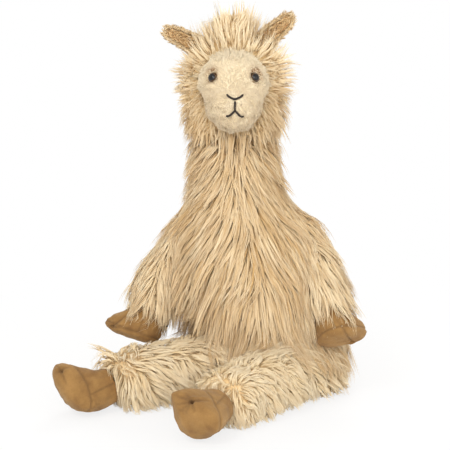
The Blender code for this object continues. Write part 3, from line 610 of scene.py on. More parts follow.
@dataclass
class Coat:
    """Fur on one cloth, combed by a field of directions, with neighbours that it stays out of."""

    cloth: Cloth
    pile: Pile
    comb: Field
    neighbours: list[Cloth]
    seed: int
    density: Field = field(default=lambda places, normals: np.ones(len(places)))
    reach: Callable[[Rows], Rows] = field(default=lambda places: np.ones(len(places)))
    tint: Callable[[Rows], Rows] = field(default=lambda places: np.zeros(len(places)))
    floor: float = 0.6 * MM
    facing: float = 8 * MM
    gap: float = 1.2 * MM

    def leaders(self, roots: Rows, gap: float, rng: np.random.Generator) -> tuple[Rows, Rows]:
        """Pick one root for each patch, and the patch of every root.

        Args:
            roots: All roots.
            gap: Size of a patch.
            rng: Source of chance.

        Returns:
            Numbers of the picked roots, and for every root which of them it follows.
        """
        shuffled = rng.permutation(len(roots))
        cells = np.floor(roots[shuffled] / gap + rng.random(3)).astype(int)
        _, first = np.unique(cells, axis=0, return_index=True)
        picked = shuffled[first]
        tree = KDTree(len(picked))
        for number, root in enumerate(roots[picked]):
            tree.insert(root, number)
        tree.balance()
        return picked, np.array([tree.find(root)[1] for root in roots])

    def trace(self, roots: Rows, normals: Rows, lengths: Rows, stray: Rows, proud: Rows) -> Rows:
        """Route of each hair from its root, kept off the cloth.

        Args:
            roots: Where they start.
            normals: The cloth's normals there.
            lengths: Their lengths.
            stray: Each one's own change of direction.
            proud: How far each one leans out all along.

        Returns:
            Places by hair and step.
        """
        rings = self.pile.rings
        route = [roots]
        outward = normals.copy()
        for step in range(rings):
            share = (step + 0.5) / rings
            flow = self.comb(route[-1], outward) + stray
            flow -= outward * np.minimum((flow * outward).sum(1, keepdims=True), 0.0)
            rise = self.pile.lift * (1 - share) ** 2 + proud[:, None]
            heading = unit(flow) + outward * rise + DOWN * self.pile.droop * share
            ahead = route[-1] + unit(heading) * (lengths / rings)[:, None]
            clear = np.full(len(ahead), self.pile.thickness * 0.25 * (share + 0.3))
            ahead, fresh = self.cloth.hold_off(ahead, clear)
            found = np.any(fresh, axis=1)
            outward[found] = fresh[found]
            route.append(ahead)
        return np.stack(route, 1)

    def grow(self, count: int, finish: FurFinish, slot: str, names: tuple[str, ...],
             part: Callable[[Rows], Rows] = lambda roots: np.zeros(len(roots), int)) -> None:
        """Grow the coat, in one piece or in several that run into each other.

        Args:
            count: How many roots are tried for.
            finish: The fur's finish.
            slot: Not used.
            names: The pieces' names.
            part: For every root the number of its piece.
        """
        rng = np.random.default_rng(self.seed)
        pile = self.pile
        roots, normals = self.cloth.sow(count, self.density, rng)
        kept = np.array([self.free(root, normal) for root, normal in zip(roots, normals)])
        roots, normals = roots[kept], normals[kept]
        locks, lock_of = self.leaders(roots, pile.lock_gap, rng)
        wisps, wisp_of = self.leaders(roots, pile.wisp_gap, rng)
        lock_of_wisp = lock_of[wisps]
        sizes = self.reach(roots) * pile.length
        lock_size = 1 + pile.variation * rng.uniform(-1, 1, len(locks))
        wisp_size = 1 + pile.variation * rng.uniform(-0.7, 0.7, len(wisps))
        stray = rng.normal(size=(len(locks), 3)) * pile.stray
        proud = pile.proud * rng.random(len(locks)) ** 1.5
        lock_paths = self.trace(roots[locks], normals[locks], sizes[locks] * lock_size, stray, proud)
        own_stray = stray[lock_of_wisp] * 0.6 + rng.normal(size=(len(wisps), 3)) * pile.stray * 0.5
        lengths = sizes[wisps] * wisp_size * lock_size[lock_of_wisp] ** 0.5
        own_proud = proud[lock_of_wisp] * rng.uniform(0.4, 1.3, len(wisps))
        wisp_paths = self.trace(roots[wisps], normals[wisps], lengths, own_stray, own_proud)
        shares = np.linspace(0, 1, pile.rings + 1)
        pull = (pile.lock_pull * shares ** 1.4)[None, :, None]
        offset = (roots[wisps] - roots[locks][lock_of_wisp])[:, None, :] * 0.35
        wisp_paths = wisp_paths * (1 - pull) + (lock_paths[lock_of_wisp] + offset) * pull
        follow = wisp_paths[wisp_of]
        stretch = (1 + pile.variation * rng.uniform(-0.6, 0.35, len(roots)))[:, None, None]
        own = roots[:, None, :] + (follow - follow[:, :1]) * stretch
        pull = (pile.wisp_pull * shares ** 0.8)[None, :, None]
        paths = own * (1 - pull) + (follow[:, :1] + (follow - follow[:, :1]) * stretch) * pull
        bend = rng.normal(size=(2, len(roots), 3)) * pile.frizz
        waves = rng.uniform(1.0, 2.2, (len(roots), 1)) * math.pi * shares
        paths += bend[0][:, None, :] * np.sin(waves)[:, :, None] * shares[None, :, None]
        paths += bend[1][:, None, :] * (shares ** 1.5)[None, :, None]
        layer = rng.random(len(roots))
        outward = np.repeat(normals[:, None, :], pile.rings + 1, 1)
        for step in range(1, pile.rings + 1):
            clear = pile.thickness * (0.1 + 0.9 * layer) * min(1.0, 1.6 * shares[step])
            places, fresh = self.cloth.hold_off(paths[:, step].copy(), clear)
            found = np.any(fresh, axis=1)
            outward[found, step] = fresh[found]
            for other in self.neighbours:
                places, _ = other.hold_off(places, np.full(len(places), 0.8 * MM) + clear * 0.3)
            places[:, 2] = np.maximum(places[:, 2], self.floor)
            paths[:, step] = places
        wander = rng.normal(size=(3, len(roots)))
        shade = 0.17 * wander[0][locks][lock_of] + 0.12 * wander[1][wisps][wisp_of] + 0.1 * wander[2]
        # Painted shade: hairs of a low layer, which lie nearer the cloth, are darker. The lock, wisp and hair
        # terms are random tone.
        shade = 0.52 + pile.mottle * (shade + 0.25 * (layer - 0.5)) + self.tint(roots)
        widths = pile.width * rng.uniform(0.65, 1.25, len(roots)) * np.where(layer < 0.35, 1.5, 1.0)
        whole = self.trimmed(paths, lengths[wisp_of] / pile.rings)
        parts = part(roots)
        for number, name in enumerate(names):
            own = whole & (parts == number)
            mesh = self.dress(paths[own], outward[own], widths[own], shade[own].clip(0, 1), shares)
            piece = add_piece(name, mesh, finish)
            piece.data.set_sharp_from_angle(angle=math.radians(110))

    def trimmed(self, paths: Rows, strides: Rows) -> Rows:
        """Cut each hair off where a neighbour pushes it out of its way.

        Args:
            paths: Places by hair and step, which are changed.
            strides: Length of each hair's step.

        Returns:
            Which hairs are long enough to keep.
        """
        rings = self.pile.rings
        legs = np.diff(paths, axis=1)
        torn = np.linalg.norm(legs, axis=2) > 2.0 * strides[:, None] + 1 * MM
        torn[:, 1:] |= (unit(legs[:, 1:]) * unit(legs[:, :-1])).sum(2) < -0.1
        good = np.where(torn.any(1), torn.argmax(1), rings)
        at = np.linspace(0, 1, rings + 1)[None, :] * good[:, None]
        low = np.floor(at).astype(int).clip(0, rings - 1)
        part = (at - low)[:, :, None]
        rows = np.arange(len(paths))[:, None]
        paths[:] = paths[rows, low] * (1 - part) + paths[rows, low + 1] * part
        return good > 0

    def free(self, root: Rows, normal: Rows) -> bool:
        """Whether a hair can grow at a root: nothing covers it and it is off the ground."""
        if root[2] < self.floor + 2 * MM and normal[2] < -0.3:
            return False
        for other in self.neighbours:
            if not other.near(root, 0.006):
                continue
            if other.depth(root) < self.gap:
                return False
            hit = other.tree.ray_cast(root, normal, self.facing)
            if hit[0] is not None:
                return False
        return True

    def dress(self, paths: Rows, outward: Rows, widths: Rows, shade: Rows, shares: Rows) -> bpy.types.Mesh:
        """Lay spikes along the routes, and map each to the column of its shade.

        Args:
            paths: Places by hair and step.
            outward: The cloth's normals by hair and step.
            widths: Width of each hair.
            shade: Shade of each hair, 0 dark to 1 light.
            shares: Share of the length at each step.

        Returns:
            The mesh.
        """
        rings = self.pile.rings
        mesh, hair, step, side = spikes(len(paths), rings)
        run = unit(np.gradient(paths, axis=1))
        up = outward - run * (outward * run).sum(2, keepdims=True)
        up = unit(up)
        across = np.cross(up, run)
        taper = (0.75 + 0.25 * np.minimum(1, shares * 4)) * (1 - shares ** 1.8)
        angle = np.radians((-150.0, -30.0, 90.0))[side]
        half = (widths[hair] * taper[step] / 2)[:, None]
        places = paths[hair, step] + across[hair, step] * half * np.cos(angle)[:, None]
        places += up[hair, step] * half * self.pile.flatness * np.sin(angle)[:, None]
        mesh.vertices.foreach_set("co", places.astype(np.float32).ravel())
        column = np.floor(shade * (COLUMNS - 1))[hair]
        shift = np.array((0.15, 0.85, 0.5))[side]
        rise = (step + np.where((side == 2) & (step == 0), 0.2, 0.0)) / rings * 0.98 + 0.01
        spots = np.stack(((column + shift) / COLUMNS, rise), 1).astype(np.float32)
        corner = np.zeros(len(mesh.loops), np.int32)
        mesh.loops.foreach_get("vertex_index", corner)
        layer = mesh.uv_layers.new(name=MAP)
        layer.data.foreach_set("uv", spots[corner].ravel())
        mesh.update()
        return mesh


LEAN = ((0.0, 60 * MM, 130 * MM, 182 * MM, 214 * MM, 262 * MM),
        (0.0, 0.0, -21 * MM, -29 * MM, -34 * MM, -36.5 * MM))
HEAD_X = -36.5 * MM
LONG = Pile(50 * MM, 1.3 * MM, lock_gap=11 * MM, wisp_gap=4.2 * MM, lock_pull=0.45, stray=0.14,
            thickness=6 * MM, proud=0.15, lift=0.5, frizz=0.7 * MM)
SHORT = Pile(23 * MM, 1.2 * MM, rings=3, lift=0.8, lock_gap=12 * MM, wisp_gap=4 * MM, lock_pull=0.6,
             thickness=5 * MM, stray=0.25, proud=0.2, frizz=0.6 * MM)
MANE = Pile(24 * MM, 1.05 * MM, lift=0.6, droop=0.12, lock_gap=8 * MM, wisp_gap=3.6 * MM, lock_pull=0.35,
            thickness=8 * MM, stray=0.13, proud=0.2, frizz=0.5 * MM)
EAR_FUR = Pile(4.8 * MM, 0.8 * MM, rings=2, lift=0.5, droop=0.0, lock_gap=5 * MM, wisp_gap=2.5 * MM,
               thickness=2 * MM, frizz=0.4 * MM, stray=0.3)
EAR_LINING = Pile(4.2 * MM, 0.8 * MM, rings=2, lift=0.6, droop=0.0, lock_gap=5 * MM, wisp_gap=2.5 * MM,
                  thickness=1.2 * MM, frizz=0.4 * MM, stray=0.3)
FUZZ = Pile(2.2 * MM, 0.62 * MM, rings=1, lift=1.3, droop=0.0, lock_gap=6 * MM, wisp_gap=1.6 * MM,
            lock_pull=0.3, wisp_pull=0.2, thickness=0.8 * MM, frizz=0.22 * MM, stray=0.4, proud=0.15,
            mottle=0.16, flatness=0.7)
LONG_STRANDS = 19200
SHORT_STRANDS = 8800
EAR_STRANDS = 2100
LINING_STRANDS = 900
GROUND_ZONE = 12 * MM


def drawn_in(vert: bmesh.types.BMVert, inward: float) -> Vector:
    """Step that draws a surface in at a corner, but doesn't lift it off the ground."""
    step = vert.normal * inward
    if vert.co.z < GROUND_ZONE:
        step.z = max(step.z, 0.0)
    return step


def backing(node: str, voxel: float, easing: int, inward: float) -> Bag:
    """Smooth cloth of a furred solid, its locks rounded off.

    Args:
        node: The solid's name.
        voxel: Size of a face.
        easing: How often it is smoothed.
        inward: How far it lies below the smoothed surface.

    Returns:
        A mesh builder of the cloth.
    """
    bag = remeshed(merged_copy(node), voxel)
    ease(bag, easing)
    bag.normal_update()
    for vert in bag.verts:
        vert.co -= drawn_in(vert, inward)
        vert.co.z = max(vert.co.z, 0.3 * MM)
    return bag


def show_cloth(cloth: Cloth, node: str, finish: object) -> None:
    """Piece of a cloth, in the place of its solid.

    Args:
        cloth: The cloth.
        node: The solid that it replaces.
        finish: Its finish.
    """
    mesh = bpy.data.meshes.new(node)
    cloth.bag.to_mesh(mesh)
    piece = add_piece(node + "_cloth", mesh, finish)
    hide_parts(node)


@dataclass
class Torso:
    """Body and neck: long fur that parts down the chest and hangs over the legs."""

    flare: float = 0.75
    breeze: Breeze = field(default_factory=lambda: Breeze(60 * MM, 11))
    cloth: Cloth = field(init=False)

    def __post_init__(self) -> None:
        """Make the cloth."""
        self.cloth = Cloth(backing("body", 4.6 * MM, 14, 6 * MM))

    def comb(self, places: Rows, normals: Rows) -> Rows:
        """Hairs hang and part at the chest's middle: sharply at the throat, hardly at the lap."""
        high = places[:, 2]
        width = np.interp(high, (0.0, 0.1, 0.18, 0.262), (0.1, 0.09, 0.06, 0.045))
        across = (places[:, 0] - np.interp(high, *LEAN)) / width
        sharp = np.interp(high, (0.1, 0.17), (0.9, 2.6))
        front = (0.35 - normals[:, 1]).clip(0.2, 1)
        flow = np.zeros_like(places)
        flow[:, 0] = self.flare * np.tanh(across * sharp) * front * np.interp(high, (0.05, 0.15), (0.6, 1.0))
        flow[:, 2] = -1.0
        return unit(flow) + self.breeze.at(places) * 0.16

    def thickness(self, places: Rows, normals: Rows) -> Rows:
        """None under the seat, fewer behind."""
        share = np.interp(places[:, 1], (-0.01, 0.01), (1.0, 0.6))
        return np.where((normals[:, 2] < -0.6) | (places[:, 2] < 3 * MM), 0.0, share)

    def dress(self) -> None:
        """Show the cloth."""
        show_cloth(self.cloth, "body", CREAM_BACKING)

    def reach(self, places: Rows) -> Rows:
        """Short at the seat and at the neck, long on the breast."""
        neck = np.interp(places[:, 2], (0.0, 0.05, 0.12, 0.19, 0.262), (0.45, 0.9, 1.1, 0.8, 0.6))
        right = places[:, 0] < np.interp(places[:, 2], *LEAN) - 0.02
        outer = np.interp(places[:, 2], (0.12, 0.2), (0.0, 1.0)) * right
        return neck * (1 - 0.2 * outer)


@dataclass
class Limb:
    """Arm or leg: a furred bag from its root to its hoof."""

    node: str
    start: Vector
    stop: Vector
    leave: Vector
    arrive: Vector
    cloth_finish: BackingFinish
    slot: str
    seed: int
    outward: Vector = field(default_factory=Vector)
    slim: float = 0.0
    pinch: tuple[float, ...] = (0.0, 0.0, 0.0, 0.0, 0.0)
    fringe: float = 0.0
    arch: float = 0.0
    reaches: tuple[float, ...] = (1.0, 1.0, 1.0, 1.0)
    brushed_back: bool = False
    cloth: Cloth = field(init=False)

    def __post_init__(self) -> None:
        """Make the cloth and the comb's directions."""
        bag = backing(self.node, 4 * MM, 11, 5.5 * MM)
        bag.normal_update()
        for vert in bag.verts:
            share = self.along(vert.co)
            vert.co -= vert.normal * self.slim * min(1.0, max(0.0, 1.2 - 1.6 * share))
        self.cloth = Cloth(bag)
        self.breeze = Breeze(40 * MM, self.seed)
        self.run = np.array((self.stop - self.start).normalized())
        self.span = (self.stop - self.start).length
        self.first = np.array(self.leave.normalized())
        self.last = np.array(self.arrive.normalized())

    def along(self, place: Vector) -> float:
        """Share of the way from root to hoof at a place."""
        way = self.stop - self.start
        return (place - self.start).dot(way) / way.length_squared

    def comb(self, places: Rows, normals: Rows) -> Rows:
        """An arm's hairs lie along it; a leg's are brushed down and back, with a fringe over the hoof."""
        share = ((places - np.array(self.start)) @ self.run / self.span).clip(0, 1)[:, None]
        if self.brushed_back:
            end = ((share - 0.88) / 0.1).clip(0, 1) * normals[:, 2:].clip(0, 1) * self.fringe
            flow = (DOWN - self.run * 0.75) * (1 - end) + (self.run * 0.9 - DOWN * 0.7) * end
        else:
            flow = self.first * (1 - share) + self.last * share + self.run
        return unit(flow + np.array(self.outward)) + self.breeze.at(places) * 0.25

    def thickness(self, places: Rows, normals: Rows) -> Rows:
        """None on the side that lies on the ground."""
        return np.where((places[:, 2] < 4 * MM) & (normals[:, 2] < -0.3), 0.0, 1.0)

    def dress(self) -> None:
        """Show the cloth."""
        show_cloth(self.cloth, self.node, self.cloth_finish)

    def reach(self, places: Rows) -> Rows:
        """Length along the limb, shorter by the ground."""
        share = (places - np.array(self.start)) @ self.run / self.span
        low = np.interp(places[:, 2], (0.0, 0.025), (0.35, 1.0))
        return np.interp(share, (0.0, 0.35, 0.75, 1.0), self.reaches) * low


class Fleece:
    """Fur of torso, arms and legs, grown from one skin, so that it runs on over shoulders and lap."""

    def __init__(self, torso: Torso, arms: list[Limb], legs: list[Limb], inward: float = 4.5 * MM) -> None:
        """Make the skin: the bags joined, eased, and drawn in below their surface."""
        self.parts = [torso, *arms, *legs]
        bag = bmesh.new()
        self.trees = []
        for node in ("body", *(limb.node for limb in (*arms, *legs))):
            solid = merged_copy(node)
            self.trees.append(BVHTree.FromBMesh(solid))
            solid.free()
            bag.from_mesh(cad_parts[node].data)
        bmesh.ops.remove_doubles(bag, verts=bag.verts, dist=WELD)
        bag = remeshed(bag, 4.2 * MM)
        ease(bag, 14)
        bag.normal_update()
        owners = self.owners(np.array([vert.co[:] for vert in bag.verts]))
        for vert, owner in zip(bag.verts, owners):
            slim, pinch, lift = 0.0, 0.0, 1 * MM
            if owner > 0:
                limb = self.parts[owner]
                share = limb.along(vert.co)
                slim = limb.slim * max(0.0, 1 - 1.6 * max(0.0, share))
                pinch = float(np.interp(share, (-0.2, 0.0, 0.35, 0.5, 0.7), limb.pinch))
                pinch *= max(0.0, -vert.normal.x)
                lift += limb.arch * math.exp(-((share - 0.45) / 0.25) ** 2)
            vert.co -= drawn_in(vert, inward + slim)
            vert.co.x += pinch
            vert.co.z = max(vert.co.z, lift)
        ease(bag, 3)
        self.cloth = Cloth(bag)
        for part in self.parts:
            self.tuck(part.cloth)

    def tuck(self, cloth: Cloth) -> None:
        """Draw a bag's cloth in wherever it would show above the skin."""
        for vert in cloth.bag.verts:
            spot, normal, _, _ = self.cloth.tree.find_nearest(vert.co)
            if (vert.co - spot).dot(normal) > -1 * MM:
                vert.co = spot - normal * 1 * MM

    def gaps(self, places: Rows, parts: tuple[int, ...]) -> Rows:
        """Distance of each place from each of some bags."""
        return np.array([[self.trees[part].find_nearest(place)[3] for part in parts] for place in places])

    def owners(self, places: Rows) -> Rows:
        """The nearest bag's number for each place."""
        return self.gaps(places, (0, 1, 2, 3, 4)).argmin(1)

    def blend(self, places: Rows, parts: tuple[int, ...], values: Callable[[object], Rows]) -> Rows:
        """Mean of a value over some bags, the nearest counting most."""
        weights = (self.gaps(places, parts) + 3 * MM) ** -3.0
        weights /= weights.sum(1, keepdims=True)
        found = [values(self.parts[part]) for part in parts]
        return sum(value * (weight[:, None] if value.ndim > 1 else weight)
                   for value, weight in zip(found, weights.T))

    def coat(self, pile: Pile, parts: tuple[int, ...], neighbours: list[Cloth], seed: int) -> Coat:
        """Coat over some of the bags."""
        def comb(places: Rows, normals: Rows) -> Rows:
            return self.blend(places, parts, lambda part: part.comb(places, normals))

        def reach(places: Rows) -> Rows:
            return self.blend(places, parts, lambda part: part.reach(places))

        def density(places: Rows, normals: Rows) -> Rows:
            owners = self.owners(places)
            shares = np.zeros(len(places))
            for part in parts:
                shares += (owners == part) * self.parts[part].thickness(places, normals)
            return shares

        def tint(places: Rows) -> Rows:
            return np.array((0.0, 0.18, 0.18, 0.07, 0.07))[self.owners(places)]

        return Coat(self.cloth, pile, comb, neighbours, seed, density, reach, tint, facing=3 * MM,
                    gap=0.8 * MM)

    def dress(self, neighbours: list[Cloth], long_strands: int, short_strands: int) -> None:
        """Grow the long fur of torso and arms, then the shorter fur of the legs."""
        def upper(roots: Rows) -> Rows:
            owners = self.owners(roots)
            return np.where(owners == 0, np.where(roots[:, 1] < 0, 0, 1), owners + 1)

        self.coat(LONG, (0, 1, 2), neighbours, 3).grow(
            long_strands, CREAM_FUR, "cream_fur",
            ("body_coat_front", "body_coat_back", "arm_right_coat", "arm_left_coat"), upper)
        self.coat(SHORT, (3, 4), neighbours, 61).grow(
            short_strands, PALE_FUR, "pale_fur", ("leg_right_coat", "leg_left_coat"),
            lambda roots: self.gaps(roots, (3, 4)).argmin(1))


@dataclass
class Head:
    """Furred hood: a mane that stands out round the face and a tuft that sweeps up from the crown."""

    middle: Vector = field(default_factory=lambda: mm(-36.5, -20, 318))
    strands: int = 8000
    cloth: Cloth = field(init=False)
    breeze: Breeze = field(default_factory=lambda: Breeze(40 * MM, 21))

    def __post_init__(self) -> None:
        """Make the cloth."""
        self.cloth = Cloth(backing("head", 3.8 * MM, 12, 3.0 * MM))

    def comb(self, places: Rows, normals: Rows) -> Rows:
        """Hairs point away from the face's middle, hang at the nape and stand up on the crown."""
        arm = places - np.array(self.middle)
        flow = unit(arm * (1.0, 0.25, 1.0))
        up = ((places[:, 2] - 338 * MM) / (22 * MM)).clip(0, 1)[:, None]
        rear = (normals[:, 1:2]).clip(0, 1)
        back = rear * (1 - up)
        flow = flow * (1 - back) + (DOWN + normals * 0.4) * back
        rising = np.array((0.0, 0.02, 1.0)) * (1 - rear) + np.array((0.0, 0.9, 0.2)) * rear
        flow = flow * (1 - 0.5 * up) + rising * up
        low = ((306 * MM - places[:, 2]) / (30 * MM)).clip(0, 1)[:, None]
        return unit(flow + DOWN * 1.3 * low + DOWN * 0.12) + self.breeze.at(places) * 0.15

    def reach(self, places: Rows) -> Rows:
        """Longest on the crown, shorter on the right cheek and at the nape."""
        tall = np.interp(places[:, 2], (0.262, 0.3, 0.34, 0.352, 0.366), (1.35, 0.95, 1.0, 1.15, 0.9))
        across = places[:, 0] - HEAD_X
        crown = np.interp(places[:, 2], (0.335, 0.35), (0.0, 1.0))
        side = np.interp(across, (-0.03, -0.01, 0.015, 0.03), (0.72, 1.0, 1.0, 0.8))
        fan = np.interp(abs(across), (0.0, 0.018, 0.028), (0.88, 1.08, 1.0))
        low = np.interp(places[:, 2], (0.285, 0.305), (1.0, 0.0))
        ragged = 1 + 0.6 * low * self.breeze.at(places * 3)[:, 0]
        bare = np.where(across < 0, np.interp(places[:, 2], (0.3, 0.318), (1.0, 0.0)),
                        np.interp(places[:, 2], (0.27, 0.286), (1.0, 0.0)))
        cheek = 1 - 0.38 * bare * np.interp(abs(across), (0.01, 0.028), (0.0, 1.0))
        return tall * (side * (1 - crown) + fan * crown) * cheek * ragged

    def tint(self, places: Rows) -> Rows:
        """Paler higher up: partly the tuft's own paler tone, partly painted light for the fine hair that
        glows against the bright background.
        """
        return np.interp(places[:, 2], (0.28, 0.3, 0.325, 0.35), (0.02, 0.2, 0.28, 0.46))

    def dress(self, neighbours: list[Cloth]) -> None:
        """Show the cloth and grow the mane."""
        show_cloth(self.cloth, "head", CREAM_BACKING)
        coat = Coat(self.cloth, MANE, self.comb, neighbours, 31, reach=self.reach, tint=self.tint,
                    facing=0.5 * MM, gap=0.2 * MM)
        coat.grow(self.strands, CREAM_FUR, "cream_fur", ("head_coat",))


# Hills and hollows of the face, in millimetres: middle across, width, height and how far it stands out
HILLS = ((0.0, 1.9, 299.0, -1.1), (-12.0, 7.5, 298.0, 2.2), (12.0, 7.5, 298.0, 2.2), (0.0, 5.0, 314.0, 0.4),
         (0.0, 7.0, 284.0, 0.8), (-24.0, 6.0, 300.0, -1.0), (24.0, 6.0, 300.0, -1.0),
         (-20.0, 6.0, 286.0, -1.6), (20.0, 6.0, 286.0, -1.6))


@dataclass
class Face:
    """Short-pile face: full cheeks, a groove below the nose, and eye sockets with painted shade."""

    eyes: tuple[Vector, Vector] = (mm(-57.3, -63.97, 327.0), mm(-15.7, -63.97, 327.0))
    nose: Vector = field(default_factory=lambda: mm(-36.5, -87.0, 307.5))
    strands: int = 22000
    rise: float = 4.5 * MM
    cloth: Cloth = field(init=False)

    def __post_init__(self) -> None:
        """Make the cloth: the face's solid with its grooves filled, then modelled."""
        bag = remeshed(merged_copy("face"), 1.7 * MM)
        ease(bag, 7)
        for vert in bag.verts:
            vert.co.z += self.rise * float(np.interp(vert.co.z, (0.276, 0.302, 0.322), (0.9, 1.0, 0.0)))
        bag.normal_update()
        crush = Breeze(9 * MM, 43).at(np.array([vert.co[:] for vert in bag.verts]))[:, 0]
        moves = []
        for vert, push in zip(bag.verts, crush):
            push *= 0.7 * MM * float(np.interp(vert.co.z, (0.318, 0.33), (1.0, 0.2)))
            moves.append(vert.normal * (self.swell(vert.co) + push) if vert.normal.y < 0.2 else Vector())
        for vert, move in zip(bag.verts, moves):
            vert.co += move
        ease(bag, 1)
        self.cloth = Cloth(bag)

    def swell(self, place: Vector) -> float:
        """How far the face stands out at a place, by listed hills and hollows."""
        across, up = (place.x - HEAD_X) / MM, place.z / MM
        total = 0.0
        for middle, width, height, size in HILLS:
            tall = 5.5 if width < 3 else width
            total += size * math.exp(-((across - middle) / width) ** 2 - ((up - height) / tall) ** 2)
        for eye in self.eyes:
            gap = (place - eye).length / MM
            above = place.z - eye.z > 0
            total += (-0.9 if not above else -0.2) * math.exp(-(gap / 5.5) ** 2)
            if above:
                total += 1.6 * math.exp(-((gap - 8.2) / 2.0) ** 2)
        return total * MM

    def comb(self, places: Rows, normals: Rows) -> Rows:
        """The pile is brushed away from the nose and down."""
        arm = places - np.array(self.nose)
        return unit(unit(arm) + DOWN * 0.4)

    def tint(self, places: Rows) -> Rows:
        """Painted shade in and round the eye sockets and a thin ring of painted shade round each eye; darker
        above the nose; lighter towards the forehead.
        """
        total = np.zeros(len(places))
        for eye in self.eyes:
            outer = math.copysign(1.5, eye.x - HEAD_X)
            arm = (places - np.array(eye)) / MM - np.array((outer, 0.0, 4.0))
            # Painted shade: a patch over and outside each eye, where the sunk socket lies in shade.
            total -= 1.15 * np.exp(-(np.linalg.norm(arm, axis=1) / 7.0) ** 2)
            # Painted shade: a thin dark ring close round the eye.
            total -= 0.8 * np.exp(-((np.linalg.norm(places - np.array(eye), axis=1) / MM - 5.2) / 1.5) ** 2)
        arm = (places - np.array(self.nose) - np.array((0.0, 0.0, 4.5 * MM))) / MM
        total -= 0.2 * np.exp(-(np.linalg.norm(arm * (0.6, 1.0, 1.0), axis=1) / 4.0) ** 2)
        return total + np.interp(places[:, 2], (0.305, 0.335), (0.2, 0.38))

    def reach(self, places: Rows) -> Rows:
        """Longer pile towards the edge, where it runs into the mane, and shorter pile round the eyes."""
        edge = np.hypot((places[:, 0] - HEAD_X) / (34 * MM), (places[:, 2] - 311 * MM) / (38 * MM))
        size = np.interp(edge, (0.8, 1.0), (1.0, 1.6)) * np.interp(places[:, 2], (0.339, 0.345), (1.0, 2.4))
        for eye in self.eyes:
            size *= np.interp(np.linalg.norm(places - np.array(eye), axis=1) / MM, (5.5, 8.5), (0.4, 1.0))
        return size

    def front(self, places: Rows, normals: Rows) -> Rows:
        """Pile only where the hood doesn't cover the face."""
        share = np.where(places[:, 1] > -26 * MM, 0.0, 1.0)
        for eye in self.eyes:
            share *= np.linalg.norm(places - np.array(eye), axis=1) > 5.3 * MM
        return share

    def dress(self) -> None:
        """Show the cloth and grow its pile."""
        show_cloth(self.cloth, "face", IVORY_BACKING)
        coat = Coat(self.cloth, FUZZ, self.comb, [], 41, self.front, self.reach, self.tint)
        coat.grow(self.strands, IVORY_PLUSH, "ivory_plush", ("face_pile",))


@dataclass
class Ear:
    """One ear: a furred back and a darker lining."""

    side: str
    direction: Vector
    seed: int
    lean: float = 0.0
    back: Cloth = field(init=False)
    lining: Cloth = field(init=False)

    def __post_init__(self) -> None:
        """Make both cloths."""
        self.back = Cloth(self.slimmed(backing("ear_back_" + self.side, 1.2 * MM, 2, 0.0)))
        self.lining = Cloth(self.slimmed(backing("ear_lining_" + self.side, 0.9 * MM, 1, 0.0)))

    def slimmed(self, bag: Bag) -> Bag:
        """The leaf a little narrower, its tip drawn over."""
        wide = self.direction.cross(Vector((0, 1, 0))).normalized()
        middle = sum((vert.co for vert in bag.verts), Vector()) / len(bag.verts)
        for vert in bag.verts:
            vert.co -= wide * (vert.co - middle).dot(wide) * 0.12
            vert.co.x += self.lean * float(np.interp(vert.co.z, (0.34, 0.375), (0.4, 1.0)))
        return bag

    def comb(self, places: Rows, normals: Rows) -> Rows:
        """Hairs point to the ear's tip."""
        return np.repeat(np.array(self.direction.normalized())[None], len(places), 0)

    def dress(self) -> None:
        """Show the cloths and grow their fur."""
        show_cloth(self.back, "ear_back_" + self.side, CREAM_BACKING)
        show_cloth(self.lining, "ear_lining_" + self.side, TAN_BACKING)
        coat = Coat(self.back, EAR_FUR, self.comb, [self.lining], self.seed,
                    tint=lambda places: np.full(len(places), 0.15))
        coat.grow(EAR_STRANDS, CREAM_FUR, "cream_plush", ("ear_back_fur_" + self.side,))
        lining = Coat(self.lining, EAR_LINING, self.comb, [self.back], self.seed + 1)
        lining.grow(LINING_STRANDS, TAN_PLUSH, "tan_plush", ("ear_lining_fur_" + self.side,))


@dataclass
class Eye:
    """Domed safety eye with its stem, turned as one moulding."""

    side: str
    place: Vector
    normal: Vector
    gaze: Vector
    radius: float = 5.2 * MM
    dome: float = 4.2 * MM
    seat: float = 0.8 * MM
    stem: float = 1.6 * MM
    stem_length: float = 9 * MM

    def dress(self) -> None:
        """Turn the eye and give the washer its plastic."""
        arc = [math.pi / 2 * step / 10 for step in range(11)]
        profile = [(self.radius * math.sin(a), self.dome * math.cos(a)) for a in arc]
        profile += [(self.radius * 0.96, -0.3 * MM), (self.stem, -0.3 * MM), (self.stem, -self.stem_length),
                    (0.0, -self.stem_length)]
        bag = bmesh.new()
        corners = [bag.verts.new((radius, 0.0, height)) for radius, height in profile]
        edges = [bag.edges.new(pair) for pair in zip(corners, corners[1:])]
        bmesh.ops.spin(bag, geom=corners + edges, cent=(0, 0, 0), axis=(0, 0, 1), angle=2 * math.pi, steps=40,
                       use_merge=True)
        bmesh.ops.remove_doubles(bag, verts=bag.verts, dist=0.001 * MM)
        bmesh.ops.recalc_face_normals(bag, faces=bag.faces)
        foot = self.place - self.normal * self.seat
        turn = self.normal.to_track_quat("Z", "Y").to_matrix().to_4x4()
        bag.transform(Matrix.Translation(foot) @ turn)
        finish = EyeFinish("eye_plastic_" + self.side, foot, self.gaze.normalized(), self.radius)
        piece = add_piece("eye_dome_" + self.side, to_mesh(bag, "eye"), finish)
        piece.data.set_sharp_from_angle(angle=math.radians(50))
        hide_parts("eye_" + self.side)
        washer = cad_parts["eye_washer_" + self.side]
        for spot in washer.material_slots:
            spot.material = WARDROBE.get(WASHER)


